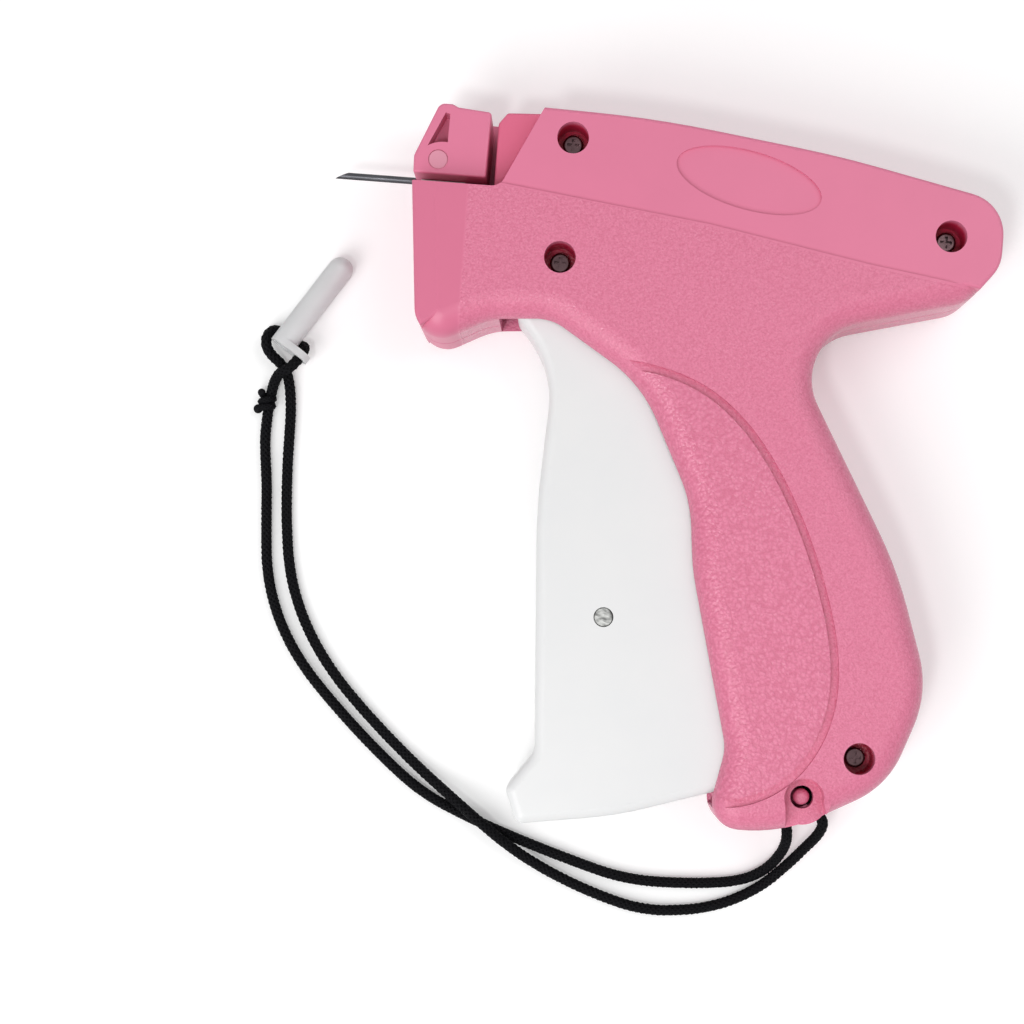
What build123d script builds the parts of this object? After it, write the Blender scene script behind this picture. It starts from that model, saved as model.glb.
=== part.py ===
import os
from math import atan2, cos, degrees, hypot, pi, radians, sin, sqrt, tan

from build123d import *

os.makedirs("parts", exist_ok=True)

# Driving sizes, in millimetres and degrees
body_thickness = 27.0
wall = 2.2
edge_round = 5.5
seam_bevel = 0.3
panel_step = 0.35
panel_edge = 0.8
nose_face_drop = 0.05
ledge_height = 7.0
ledge_width = 5.0
tail_reach = 128.3
top_rise = 15.6
butt_drop = 136.2
nose_drop = 38.6
fit_gap = 0.03
slide_gap = 0.3
seat_gap = 0.1

# Trigger and its drive
trigger_width = 17.0
trigger_wall = 2.0
trigger_front_wall = 2.6
trigger_edge = 2.0
trigger_drop = 138.7
trigger_swing = 18.0
hub_wall = 2.6
pivot_boss_radius = 4.6
link_pin_diameter = 4.3
lever_thickness = 6.0
lever_width = 5.6
lever_hub_radius = 5.2
lever_pin_diameter = 4.0
lever_boss_radius = 3.5
lower_arm = 35.0
lower_arm_lean = -5.25
tip_radius = 3.2
stroke = 38.0
link_thickness = 1.6
link_gap = 0.4
loop_play = 1.2
spring_wire = 0.8
spring_turns = 2
spring_pitch = 1.35

# Ejector
slide_length = 32.0
slide_height = 7.8
slide_top = 2.8
slide_half_width = 6.7
rod_diameter = 0.9
rail_thickness = 1.8

# Needle and nose
needle_reach = 16.8
needle_diameter = 1.5
needle_bore = rod_diameter + seat_gap
needle_slot = 0.5
slit_width = 1.6
lower_nose_top = -2.7
nose_plate = 5.5
block_face = 8.5
guide_face = 7.5
base_length = 9.7
base_depth = 4.5
base_half_width = 2.6
knife_thickness = 0.6
lock_pin_diameter = 4.2
lock_length = 11.0
lock_width = 5.0
lock_thickness = 2.5

# Feed
wheel_teeth = 10
wheel_radius = 4.5
wheel_root = 3.3
wheel_thickness = 3.0
wheel_shaft_diameter = 2.4
pawl_reach = 8.4
leaf_thickness = 0.45

# Screws, lanyard post and needle cap
boss_radius = 4.3
counterbore_diameter = 6.8
head_diameter = 4.4
head_height = 1.9
head_seat = 4.6
shank_diameter = 2.4
shank_length = 13.0
post_diameter = 3.5
post_hole = 5.0
tongue_floor = 8.5
cap_diameter = 5.7
cap_bore = 3.6
cap_end_wall = 2.0
plate_thickness = 1.65
ear_reach = 6.75
cord_diameter = 2.6

# Frame: x runs back along the needle axis, y up, z out of the left side
half = body_thickness / 2
nose_x = (needle_reach - tail_reach) / 2
axis_y = (trigger_drop - top_rise) / 2
gun = Plane(origin=(nose_x, axis_y, half), x_dir=(1, 0, 0), z_dir=(0, 0, 1))
ceiling = half - wall
trigger_half = trigger_width / 2

# Screw places and pivots, from the nose face and the needle axis
front_screw = (34.9, top_rise - 6.7)
pivot = (34.0, -16.8)
tail_screw = (tail_reach - 11.2, -6.1)
butt_screw = (105.8, 17.3 - butt_drop)
screws = [front_screw, pivot, tail_screw, butt_screw]
post = (94.7, 8.0 - butt_drop)
link_pin = (49.1, -92.7)
lever_pin = (87.0, -55.0)
lock_pin = (6.1, 3.2)
upper_arm = -lever_pin[1] / 0.967
lever_swing = 2 * degrees(atan2(stroke / 2, sqrt(upper_arm**2 - stroke**2 / 4)))


def polar(centre, length, angle):
    """Point at a length and angle from a centre, the angle counted from +x."""
    return (centre[0] + length * cos(radians(angle)), centre[1] + length * sin(radians(angle)))


def rounded(corners):
    """Closed face from corner points (x, y, corner radius)."""
    with BuildSketch(mode=Mode.PRIVATE) as face:
        with BuildLine():
            FilletPolyline(*[(x, y) for x, y, r in corners], radius=[r for x, y, r in corners], close=True)
        make_face()
    return face.sketch


def bend_radii(points):
    """Bend radius at each inner point: its arc takes 0.45 of the shorter run beside it."""
    radii = []
    for before, here, after in zip(points, points[1:], points[2:]):
        run_in = here - before
        run_out = after - here
        turn = radians(run_in.get_angle(run_out))
        radii.append(0.45 * min(run_in.length, run_out.length) / tan(turn / 2))
    return radii


lever_foot = polar(lever_pin, lower_arm, lower_arm_lean - 90)
lever_tip = polar(lever_pin, upper_arm, 90 - lever_swing / 2)
lever_neck = polar(lever_tip, 13.0, 270 - lever_swing / 2)
lever_knee = (82.5, -28.0)

# Body outline, shared by both halves: underside of the nose, trigger opening, grip, tail and top
top_bend = 1.95 * tail_reach
nose_slope = 4.0 / (nose_drop + 3.8)
nose_front = 0.6 + nose_slope * (3.8 - lower_nose_top)
belly = [
    (4.6, -nose_drop, 5.8),
    (20.0, -30.4, 15.0),
    (33.0, -29.4, 10.0),
    (53.5, -42.0, 30.0),
    (65.9, -66.5, 30.0),
    (67.4, -81.0, 50.0),
    (77.4, -119.0, 10.0),
    (74.0, -butt_drop, 6.2),
    (91.0, -butt_drop - 0.3, 35.0),
    (113.0, 11.7 - butt_drop, 20.0),
    (120.4, 32.7 - butt_drop, 24.0),
    (111.5, -77.5, 90.0),
    (83.6, -29.5, 12.5),
    (tail_reach - 6.0, -19.2, 8.0),
    (tail_reach, -11.5, 8.0),
    (tail_reach, top_rise - 13.6, 9.0),
    (0.717 * tail_reach, top_rise - 6.2, top_bend),
    (0.405 * tail_reach, top_rise - 1.1, top_bend),
]
full_nose = [(5.6, top_rise, 6.2), (0.6, 3.8, 7.0)]
crisp_nose = [(5.6, top_rise, 1.0), (0.6, 3.8, 3.0)]
cheek = [(-5.0, 2.0), (13.0, 2.0), (13.0, -27.5), (1.5, -36.6), (-5.0, -36.6)]
nose_cut = [
    (-5.0, lower_nose_top, 0.5),
    (20.0, lower_nose_top, 3.0),
    (28.9, top_rise + 0.4, 0.5),
    (28.9, top_rise + 5.0, 0.5),
    (-5.0, top_rise + 5.0, 0.5),
]
open_nose = [(28.7, top_rise - 0.4, 0.5), (20.0, lower_nose_top, 3.0), (nose_front, lower_nose_top, 0.5)]
upper_panel = [
    (-5.0, -1.0),
    (21.0, -2.0),
    (0.51 * tail_reach, -7.4),
    (0.78 * tail_reach, -13.4),
    (tail_reach + 2, -17.6),
    (tail_reach + 2, 30.0),
    (-5.0, 30.0),
]
trigger_opening = [
    (21.8, -45.0, 1.0),
    (21.8, -23.5, 1.0),
    (36.0, -22.0, 4.0),
    (58.5, -36.0, 15.0),
    (73.5, -62.0, 15.0),
    (75.6, -79.5, 20.0),
    (84.4, -113.0, 5.0),
    (84.4, 6.9 - butt_drop, 1.0),
    (56.0, -1.7 - butt_drop, 20.0),
    (40.0, -2.0 - butt_drop, 1.0),
]
palm_groove = [
    (45.0, -38.0),
    (54.9, -39.0),
    (65.9, -42.3),
    (74.9, -48.6),
    (83.2, -58.7),
    (90.1, -71.0),
    (95.9, -85.6),
    (98.6, -96.1),
    (99.2, -106.7),
    (97.1, 20.7 - butt_drop),
    (92.3, 12.9 - butt_drop),
    (85.2, 7.6 - butt_drop),
    (75.0, 5.6 - butt_drop),
]
groove_width = 1.8
groove_depth = 1.0
oval_centre = (73.1, 2.6)
oval_length = 32.0
oval_height = 12.6
oval_tilt = -11.5
oval_depth = 0.6


# Feed wheel place: its centre stays one mesh distance from the trigger pivot
mesh_distance = 12.0
mesh_angle = 143.0
wheel_centre = polar(pivot, mesh_distance, mesh_angle)

# Slide rails and needle seat, worked out from the pieces they hold
slide_back = lever_tip[0] + tip_radius + slide_gap + 2.4
slide_front = slide_back - slide_length
slide_bottom = slide_top - slide_height
rail_low = slide_bottom - slide_gap
rail_high = slide_top + slide_gap
rail_front = slide_front - stroke - 0.8
rail_back = slide_back + 0.6
base_front = nose_front + 1.0
base_back = base_front + base_length
base_bottom = -base_depth - 0.1
knife_front = base_back + 1.0
knife_bottom = base_bottom - 2.8
knife_half_width = 3.2
seat_back = knife_front + 3.2
seat_bottom = knife_bottom - 1.2
spring_foot = lever_thickness / 2 + link_gap
spring_top = spring_foot + spring_turns * spring_pitch + spring_wire

# Nose pieces, needle line and feed pieces
along = Plane(origin=(nose_x, axis_y, half), x_dir=(0, -1, 0), z_dir=(1, 0, 0))
block_back = 16.6
guide_front = block_back + slit_width + 0.3
block_outline = [
    (0.9, seat_gap, 0.4),
    (0.8, 3.8, 2.0),
    (5.6, top_rise - 0.2, 1.8),
    (8.4, top_rise - 0.2, 1.2),
    (9.6, top_rise - 0.8, 0.8),
    (block_back + 0.3, top_rise - 1.4, 0.8),
    (block_back, seat_gap, 0.4),
]
guide_outline = [
    (guide_front, lower_nose_top + 1.2, 0.3),
    (guide_front, top_rise - 3.4, 1.5),
    (guide_front + 1.8, top_rise - 1.0, 1.0),
    (27.9, top_rise - 0.6, 0.3),
    (19.9, lower_nose_top + 1.2, 0.3),
]
needle_point = 3.2
knife_top = -1.0
lock_side = lock_width / 2 + slide_gap
wheel_plane = Plane(origin=gun.from_local_coords((*wheel_centre, 0)))
shaft_half_length = ceiling - 2.3
pawl_angle = mesh_angle - trigger_swing / 2
pawl_plane = Plane(
    origin=gun.from_local_coords((*pivot, 0)),
    x_dir=(cos(radians(pawl_angle)), sin(radians(pawl_angle)), 0),
)
pawl_half_width = 0.8
pawl_root = pivot_boss_radius + 0.8
pawl_outline = [
    (pawl_root, -0.8),
    (pawl_reach - 1.2, -0.7),
    (pawl_reach, -0.35),
    (pawl_reach, 0.35),
    (pawl_reach - 1.2, 0.7),
    (pawl_root, 0.8),
]
leaf_half_width = 1.5
leaf_level = wheel_centre[1] + wheel_radius + slide_gap
leaf_root = wheel_centre[0] + 6.2
hub_radius = pivot_boss_radius + hub_wall
link_foot = lever_thickness / 2 + link_gap
link_length = hypot(lever_foot[0] - link_pin[0], lever_foot[1] - link_pin[1])
link_angle = degrees(atan2(lever_foot[1] - link_pin[1], lever_foot[0] - link_pin[0]))
link_plane = Plane(
    origin=gun.from_local_coords((*link_pin, 0)),
    x_dir=(cos(radians(link_angle)), sin(radians(link_angle)), 0),
)
rod_socket = 8.0
rod_tip = guide_front + 2.2
spring_radius = lever_pin_diameter / 2 + 0.3 + spring_wire / 2
spring_level = spring_foot + spring_wire / 2
spring_leg = 9.0
coil_corners = 8
coil_reach = spring_radius / cos(pi / coil_corners)
spring_spots = [(spring_radius, -spring_leg, -spring_level), (spring_radius, -spring_leg, 0)]
for step in range(spring_turns * coil_corners):
    around = 2 * pi * (step + 0.5) / coil_corners
    rise = spring_pitch * (step + 0.5) / coil_corners
    spring_spots.append((coil_reach * cos(around), coil_reach * sin(around), rise))
spring_spots.append((spring_radius, spring_leg, spring_turns * spring_pitch))
spring_origin = gun.from_local_coords((*lever_pin, spring_level))
spring_route = [spring_origin + Vector(spot) for spot in spring_spots]

# Trigger outline and the hollow of its channel
trigger_outline = [
    (pivot[0] - hub_radius, pivot[1], 0.5),
    (25.4, -29.0, 2.2),
    (34.3, -39.2, 24.0),
    (32.9, -70.0, 150.0),
    (36.4, 15.7 - trigger_drop, 6.0),
    (30.6, 7.5 - trigger_drop, 2.2),
    (33.6, -trigger_drop, 2.3),
    (55.0, 3.3 - trigger_drop, 80.0),
    (79.6, 11.3 - trigger_drop, 2.4),
    (79.0, -116.5, 6.0),
    (69.4, -80.5, 50.0),
    (67.4, -65.0, 30.0),
    (54.4, -40.6, 30.0),
    (pivot[0] + hub_radius, -27.0, 8.0),
    (pivot[0] + hub_radius, pivot[1], 0.5),
]
trigger_channel = [
    (34.3 + trigger_front_wall, -42.0, 5.0),
    (32.9 + trigger_front_wall, -70.0, 110.0),
    (36.4 + trigger_front_wall, 8.4 - trigger_drop, 2.0),
    (55.0, 6.2 - trigger_drop, 50.0),
    (90.0, 16.8 - trigger_drop, 1.0),
    (90.0, -60.0, 1.0),
    (60.0, -38.0, 1.0),
    (46.0, -36.0, 3.0),
]

# Needle cap, propped on its hitch with the domed end on the floor
cap_seat = Vector(-82.4, 24.9, 5.6)
cap_end = Vector(-69.8, 45.0, 2.95)
cap_direction = (cap_end - cap_seat).normalized()
cap_plane = Plane(origin=cap_seat, x_dir=(-cap_direction.Y, cap_direction.X, 0), z_dir=cap_direction)
cap_length = (cap_end - cap_seat).length
ear_hole = cord_diameter + 0.3
ear_centre = -ear_reach + cap_diameter / 2 - 0.8
under_neck = (cap_diameter + cord_diameter) / 2 - 0.15
over_plate = (plate_thickness + cord_diameter) / 2 + 0.2

# Lanyard route: round the post, along the left strand, through the ear, under the neck of the cap,
# round the end of its plate and back along the right strand into the butt
floor_level = cord_diameter / 2 + 0.1
post_top = gun.from_local_coords((*post, 0))
bight = (post_diameter + cord_diameter) / 2 + 0.25
end_gap = 0.6
strand_to_cap = [
    (post_top.X + bight, post_top.Y - 2.0, half),
    (post_top.X + bight, post_top.Y + bight, half),
    (post_top.X - bight, post_top.Y + bight, half),
    (post_top.X - bight, post_top.Y - 2.4, half),
    (37.6, -75.2, 12.6),
    (37.5, -79.6, 8.2),
    (34.6, -84.6, 3.2),
    (29.0, -88.0, floor_level),
    (17.6, -89.4, floor_level),
    (3.0, -89.6, floor_level),
    (-11.0, -85.7, floor_level),
    (-24.0, -81.6, floor_level),
    (-35.4, -77.4, floor_level),
    (-45.0, -73.0, floor_level),
    (-55.0, -65.0, floor_level),
    (-65.4, -55.3, floor_level),
    (-74.0, -46.1, floor_level),
    (-79.8, -36.5, floor_level),
    (-83.0, -26.5, floor_level),
    (-83.9, -16.0, floor_level),
    (-84.5, -6.0, floor_level),
    (-85.7, 3.0, floor_level),
    (-85.5, 9.5, floor_level),
    (-85.0, 13.9, 1.6),
    (-84.3, 16.6, 2.7),
    (-83.0, 18.6, 4.3),
]
hitch = [
    (ear_centre, 0, -3.4),
    (ear_centre, 0, over_plate),
    (-2.4, -under_neck, over_plate),
    (2.4, -under_neck, over_plate),
    (under_neck + 0.3, -2.4, 1.6),
    (under_neck + 0.4, -1.6, -1.2),
    (2.2, -2.6, -3.4),
]
strand_to_post = [
    (-82.4, 20.2, 1.8),
    (-81.3, 17.4, floor_level),
    (-80.6, 14.0, floor_level),
    (-80.2, 9.0, floor_level),
    (-80.2, -2.0, floor_level),
    (-79.4, -15.5, floor_level),
    (-77.6, -27.5, floor_level),
    (-73.0, -38.6, floor_level),
    (-66.0, -48.6, floor_level),
    (-56.5, -58.2, floor_level),
    (-46.5, -67.0, floor_level),
    (-38.5, -73.0, 3.4),
    (-31.5, -78.2, 4.5),
    (-24.5, -83.4, 3.8),
    (-16.0, -88.4, 1.7),
    (-5.0, -92.9, floor_level),
    (7.0, -96.2, floor_level),
    (18.0, -95.4, floor_level),
    (26.4, -93.0, floor_level),
    (33.6, -88.6, 2.8),
    (38.4, -83.4, 5.6),
    (42.2, -78.6, 8.4),
    (45.0, -74.6, 11.6),
    (45.2, -71.6, 13.3),
    (post_top.X + bight, post_top.Y - 2.0 - end_gap, half),
]
cord_route = [Vector(spot) for spot in strand_to_cap]
cord_route += [cap_plane.from_local_coords(spot) for spot in hitch]
cord_route += [Vector(spot) for spot in strand_to_post]
knot_radius = cord_diameter / 2 + 0.55
knot_length = 4.6
stub_diameter = 1.9
stub_length = 4.2
knot_plane = Plane(origin=(-85.6, 13.2, knot_radius + 0.05), z_dir=(0, -1, 0))
knot_middle = Vector(-85.6, 11.6, knot_radius + 0.4)
stub_ways = [(-0.75, 0.6, 0.25), (-0.95, -0.25, 0.15)]


def box_between(x0, x1, y0, y1):
    """Rectangle between two x and two y places of the gun's side view."""
    with BuildSketch(mode=Mode.PRIVATE) as face:
        with BuildLine():
            Polyline((x0, y0), (x1, y0), (x1, y1), (x0, y1), close=True)
        make_face()
    return face.sketch


def panel_block(side):
    """Crisp-edged upper band of one half."""
    with BuildPart() as block:
        with BuildSketch(gun):
            add(rounded(belly + crisp_nose))
            with BuildLine():
                Polyline(*upper_panel, close=True)
            make_face(mode=Mode.INTERSECT)
        extrude(amount=side * (half - panel_step))
        outer = block.faces().sort_by(Axis.Z)[-1 if side > 0 else 0]
        fillet(outer.edges(), panel_edge)
    return block.part


def cheek_block(side):
    """Flat cheek at the front of the nose, with crisp edges down to the chin."""
    with BuildPart() as block:
        with BuildSketch(gun):
            add(rounded(belly + crisp_nose))
            with BuildLine():
                Polyline(*cheek, close=True)
            make_face(mode=Mode.INTERSECT)
        extrude(amount=side * (half - nose_face_drop))
        outer = block.faces().sort_by(Axis.Z)[-1 if side > 0 else 0]
        fillet(outer.edges(), panel_edge)
    return block.part


def housing_blank(side):
    """One half of the body: outer form, hollow, bosses, rails and the trigger opening."""
    upper_band = panel_block(side)
    nose_cheek = cheek_block(side)
    with BuildPart() as blank:
        with BuildSketch(gun):
            add(rounded(belly + full_nose))
        extrude(amount=side * half)
        outer = blank.faces().sort_by(Axis.Z)[-1 if side > 0 else 0]
        inner = blank.faces().sort_by(Axis.Z)[0 if side > 0 else -1]
        fillet(outer.edges(), edge_round)
        chamfer(inner.edges(), seam_bevel)
        with BuildSketch(gun.offset(side * (half - panel_step))):
            with BuildLine():
                Polyline(*upper_panel, close=True)
            make_face()
        extrude(amount=side * half, mode=Mode.SUBTRACT)
        add(upper_band)
        add(nose_cheek)
        with BuildSketch(gun):
            add(rounded(belly + open_nose))
            offset(amount=-wall)
        extrude(amount=side * ledge_height, mode=Mode.SUBTRACT)
        with BuildSketch(gun):
            add(rounded(belly + open_nose))
            offset(amount=-ledge_width)
        extrude(amount=side * ceiling, mode=Mode.SUBTRACT)
        with BuildSketch(gun):
            with Locations(front_screw, tail_screw, butt_screw):
                Circle(boss_radius)
            with Locations(pivot):
                Circle(pivot_boss_radius)
        extrude(amount=side * (half - wall / 2))
        with BuildSketch(gun.offset(side * (lever_thickness / 2 + slide_gap))):
            with Locations(lever_pin):
                Circle(lever_boss_radius)
        extrude(amount=side * (ceiling - lever_thickness / 2))
        with BuildSketch(gun.offset(side * (wheel_thickness / 2 + slide_gap))):
            with Locations(wheel_centre):
                Circle(wheel_shaft_diameter / 2 + 1.5)
        extrude(amount=side * (ceiling - wheel_thickness / 2))
        with BuildSketch(gun.offset(side * (lever_thickness / 2 + 0.5))):
            add(box_between(rail_front, rail_back, rail_low - rail_thickness, rail_low))
            add(box_between(rail_front, rail_back, rail_high, rail_high + rail_thickness))
        extrude(amount=side * (ceiling - lever_thickness / 2))
        with BuildSketch(gun.offset(side * (slide_half_width + slide_gap))):
            add(box_between(rail_front, rail_back, rail_low, rail_low + 2))
            add(box_between(rail_front, rail_back, rail_high - 2, rail_high))
        extrude(amount=side * (ceiling - slide_half_width))
        with BuildSketch(gun):
            add(box_between(nose_front + 0.5, seat_back, seat_bottom, lower_nose_top - 0.5))
        extrude(amount=side * (ceiling + wall / 2))
        with BuildSketch(gun):
            add(rounded(trigger_opening))
        extrude(amount=side * (trigger_half + slide_gap), mode=Mode.SUBTRACT)
        with BuildSketch(gun):
            with Locations(pivot):
                Circle(pivot_boss_radius)
        extrude(amount=side * (half - wall / 2))
        with BuildSketch(gun):
            add(box_between(base_front - seat_gap, base_back + seat_gap, base_bottom, top_rise))
        extrude(amount=side * (base_half_width + seat_gap), mode=Mode.SUBTRACT)
        with BuildSketch(gun):
            add(box_between(knife_front - fit_gap, knife_front + knife_thickness + fit_gap, knife_bottom, top_rise))
        extrude(amount=side * (knife_half_width + fit_gap), mode=Mode.SUBTRACT)
        with BuildSketch(gun):
            with Locations(lever_pin):
                Circle(lever_pin_diameter / 2 + fit_gap)
        extrude(amount=side * ceiling, mode=Mode.SUBTRACT)
        with BuildSketch(gun):
            with Locations(wheel_centre):
                Circle(wheel_shaft_diameter / 2 + fit_gap)
        extrude(amount=side * (ceiling - 2), mode=Mode.SUBTRACT)
        with BuildSketch(along):
            Circle(rod_diameter / 2 + slide_gap)
        extrude(amount=rail_front, mode=Mode.SUBTRACT)
        with BuildSketch(gun):
            add(box_between(post[0] - 5.0, post[0] + 8.4, -butt_drop - 4, 8.4 - butt_drop))
        extrude(amount=side * 3.3, mode=Mode.SUBTRACT)
    return blank.part


left_blank = housing_blank(1)
right_blank = housing_blank(-1)

with BuildPart() as left_housing:
    add(left_blank)
    # Pad under the tongue recess, and the part of the nose that the block and guide fill
    with BuildSketch(gun.offset(tongue_floor - 2.2)):
        with Locations(post):
            Circle(6.0)
    extrude(amount=half - wall / 2 - tongue_floor + 2.2)
    with BuildSketch(gun):
        add(rounded(nose_cut))
    extrude(amount=half, mode=Mode.SUBTRACT)
    # Sunk screw holes
    with BuildSketch(gun.offset(head_seat)):
        with Locations(*screws):
            Circle(counterbore_diameter / 2)
    extrude(amount=half, mode=Mode.SUBTRACT)
    with BuildSketch(gun):
        with Locations(*screws):
            Circle(shank_diameter / 2 + fit_gap)
    extrude(amount=half, mode=Mode.SUBTRACT)
    # Tongue recess and post hole at the butt
    with BuildSketch(gun.offset(tongue_floor)):
        with Locations(post):
            Circle(4.3)
        with BuildLine():
            Polyline(
                (post[0] - 4.1, post[1] - 0.6),
                (post[0] - 2.4, -butt_drop - 6),
                (post[0] + 8.4, -butt_drop - 6),
                (post[0] + 3.4, post[1] + 2.6),
                close=True,
            )
        make_face()
    extrude(amount=half, mode=Mode.SUBTRACT)
    with BuildSketch(gun):
        with Locations(post):
            Circle(post_hole / 2)
    extrude(amount=half, mode=Mode.SUBTRACT)
    # Room for the return spring beside the lever
    with BuildSketch(gun):
        with Locations(lever_pin):
            Circle(lever_boss_radius + 0.5)
    extrude(amount=spring_top + slide_gap, mode=Mode.SUBTRACT)
    # Palm groove and bare oval recess
    with BuildSketch(gun.offset(half - groove_depth)):
        with BuildLine():
            Spline(*palm_groove)
        trace(line_width=groove_width)
    extrude(amount=half, mode=Mode.SUBTRACT)
    with BuildSketch(gun.offset(half - panel_step - oval_depth)):
        with Locations(Location((oval_centre[0], oval_centre[1], 0), (0, 0, oval_tilt))):
            Ellipse(oval_length / 2, oval_height / 2)
    extrude(amount=half, mode=Mode.SUBTRACT)
left_housing.part.label = "left_housing"
export_step(left_housing.part, "parts/left_housing.step")

with BuildPart() as right_housing:
    add(right_blank)
    # Bed for the nose block and the clip guide, over the back plate
    with BuildSketch(gun):
        add(rounded(nose_cut))
    extrude(amount=nose_plate - half, mode=Mode.SUBTRACT)
    # Lanyard post with a domed end
    with BuildSketch(gun.offset(-ceiling - wall / 2)):
        with Locations(post):
            Circle(post_diameter / 2)
    extrude(amount=ceiling + wall / 2 + tongue_floor)
    fillet(right_housing.faces().sort_by(Axis.Z)[-1].edges(), post_diameter / 2 - 0.6)
    # Pilot holes for the screws
    with BuildSketch(gun):
        with Locations(*screws):
            Circle(shank_diameter / 2 + fit_gap)
    extrude(amount=head_seat - shank_length - 0.6, mode=Mode.SUBTRACT)
    # Rib that holds the check leaf
    with BuildSketch(gun.offset(-ceiling)):
        add(box_between(leaf_root, leaf_root + 2.4, leaf_level - 1.2, leaf_level + leaf_thickness + 1.2))
    extrude(amount=ceiling + leaf_half_width)
    with BuildSketch(gun.offset(-leaf_half_width - fit_gap)):
        add(box_between(leaf_root - 1, leaf_root + 1.9, leaf_level - fit_gap, leaf_level + leaf_thickness + fit_gap))
    extrude(amount=ceiling, mode=Mode.SUBTRACT)
    # Pocket in which the needle lock swings, sunk below the resting side, and the hole for its pin
    with BuildSketch(gun.offset(-half)):
        with Locations(lock_pin):
            Circle(lock_length + slide_gap)
        add(
            box_between(lock_pin[0], lock_pin[0] + 30, lock_pin[1], lock_pin[1] + 30),
            mode=Mode.INTERSECT,
        )
        add(box_between(lock_pin[0], lock_pin[0] + lock_length + slide_gap, lock_pin[1] - lock_side, lock_pin[1]))
        add(box_between(lock_pin[0] - lock_side, lock_pin[0], lock_pin[1], lock_pin[1] + lock_length + slide_gap))
        with Locations(lock_pin):
            Circle(lock_side)
    extrude(amount=lock_thickness + 2 * slide_gap, mode=Mode.SUBTRACT)
    with BuildSketch(gun.offset(-half)):
        with Locations(lock_pin):
            Circle(lock_pin_diameter / 2 + fit_gap)
    extrude(amount=half, mode=Mode.SUBTRACT)
right_housing.part.label = "right_housing"
export_step(right_housing.part, "parts/right_housing.step")

# Nose block above the needle, with its triangular pocket and a groove for the needle
with BuildPart() as nose_block:
    with BuildSketch(gun.offset(nose_plate - half)):
        add(rounded(block_outline))
    extrude(amount=half - nose_plate + block_face)
    fillet(nose_block.faces().sort_by(Axis.Z)[-1].edges(), 0.5)
    with BuildSketch(gun.offset(block_face - 5.0)):
        with BuildLine():
            Polyline((7.0, 13.4), (8.0, 13.2), (7.9, 7.0))
            ThreePointArc((7.9, 7.0), (5.8, 6.9), (3.6, 6.0))
            Line((3.6, 6.0), (7.0, 13.4))
        make_face()
    extrude(amount=half, mode=Mode.SUBTRACT)
    with BuildSketch(gun.offset(-half)):
        with Locations(lock_pin):
            Circle(lock_pin_diameter / 2 + fit_gap)
    extrude(amount=2 * half, mode=Mode.SUBTRACT)
    with BuildSketch(along.offset(-30)):
        Circle(needle_diameter / 2 + seat_gap)
    extrude(amount=60, mode=Mode.SUBTRACT)
nose_block.part.label = "nose_block"
export_step(nose_block.part, "parts/nose_block.step")

# Clip guide behind the slit, bored for the ejector rod
with BuildPart() as clip_guide:
    with BuildSketch(gun.offset(nose_plate - half)):
        add(rounded(guide_outline))
    extrude(amount=half - nose_plate + guide_face)
    fillet(clip_guide.faces().sort_by(Axis.Z)[-1].edges(), 0.5)
    with BuildSketch(along.offset(-10)):
        Circle(rod_diameter / 2 + slide_gap)
    extrude(amount=60, mode=Mode.SUBTRACT)
clip_guide.part.label = "clip_guide"
export_step(clip_guide.part, "parts/clip_guide.step")

# Slotted needle with a slanted point
with BuildPart() as needle:
    with BuildSketch(along.offset(-needle_reach)):
        Circle(needle_diameter / 2)
        Circle(needle_bore / 2, mode=Mode.SUBTRACT)
        with Locations((0, needle_diameter / 2)):
            Rectangle(needle_slot, needle_diameter, mode=Mode.SUBTRACT)
    extrude(amount=needle_reach + base_back)
    with BuildSketch(gun.offset(-half)):
        with BuildLine():
            Polyline(
                (-needle_reach - 1, -needle_diameter / 2),
                (-needle_reach, -needle_diameter / 2),
                (-needle_reach + needle_point, needle_diameter / 2 + 0.1),
                (-needle_reach - 1, needle_diameter / 2 + 0.1),
                close=True,
            )
        make_face()
    extrude(amount=2 * half, mode=Mode.SUBTRACT)
needle.part.label = "needle"
export_step(needle.part, "parts/needle.step")

# Plastic base under the needle
with BuildPart() as needle_base:
    with BuildSketch(gun.offset(-base_half_width)):
        add(box_between(base_front, base_back, base_bottom, -seat_gap))
    extrude(amount=2 * base_half_width)
    with BuildSketch(along.offset(-30)):
        Circle(needle_diameter / 2)
    extrude(amount=60, mode=Mode.SUBTRACT)
needle_base.part.label = "needle_base"
export_step(needle_base.part, "parts/needle_base.step")

# Knife behind the needle base, its edge just under the ejector's path
with BuildPart() as knife:
    with BuildSketch(gun.offset(-knife_half_width)):
        with BuildLine():
            Polyline(
                (knife_front, knife_bottom),
                (knife_front + knife_thickness, knife_bottom),
                (knife_front + knife_thickness, knife_top - 1.2),
                (knife_front, knife_top),
                close=True,
            )
        make_face()
    extrude(amount=2 * knife_half_width)
knife.part.label = "knife"
export_step(knife.part, "parts/knife.step")

# Needle lock lever on the far side, and the pin it turns on
with BuildPart() as needle_lock:
    with BuildSketch(gun.offset(-half + slide_gap)):
        with Locations(lock_pin):
            Circle(lock_width / 2)
        with Locations((lock_pin[0] + (lock_length - 1) / 2, lock_pin[1])):
            Rectangle(lock_length - 1, lock_width)
        with Locations(lock_pin):
            Circle(lock_pin_diameter / 2 + fit_gap, mode=Mode.SUBTRACT)
    extrude(amount=lock_thickness)
    fillet(needle_lock.edges().filter_by(Axis.Z).sort_by(Axis.X)[-2:], 1.2)
needle_lock.part.label = "needle_lock"
export_step(needle_lock.part, "parts/needle_lock.step")

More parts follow.
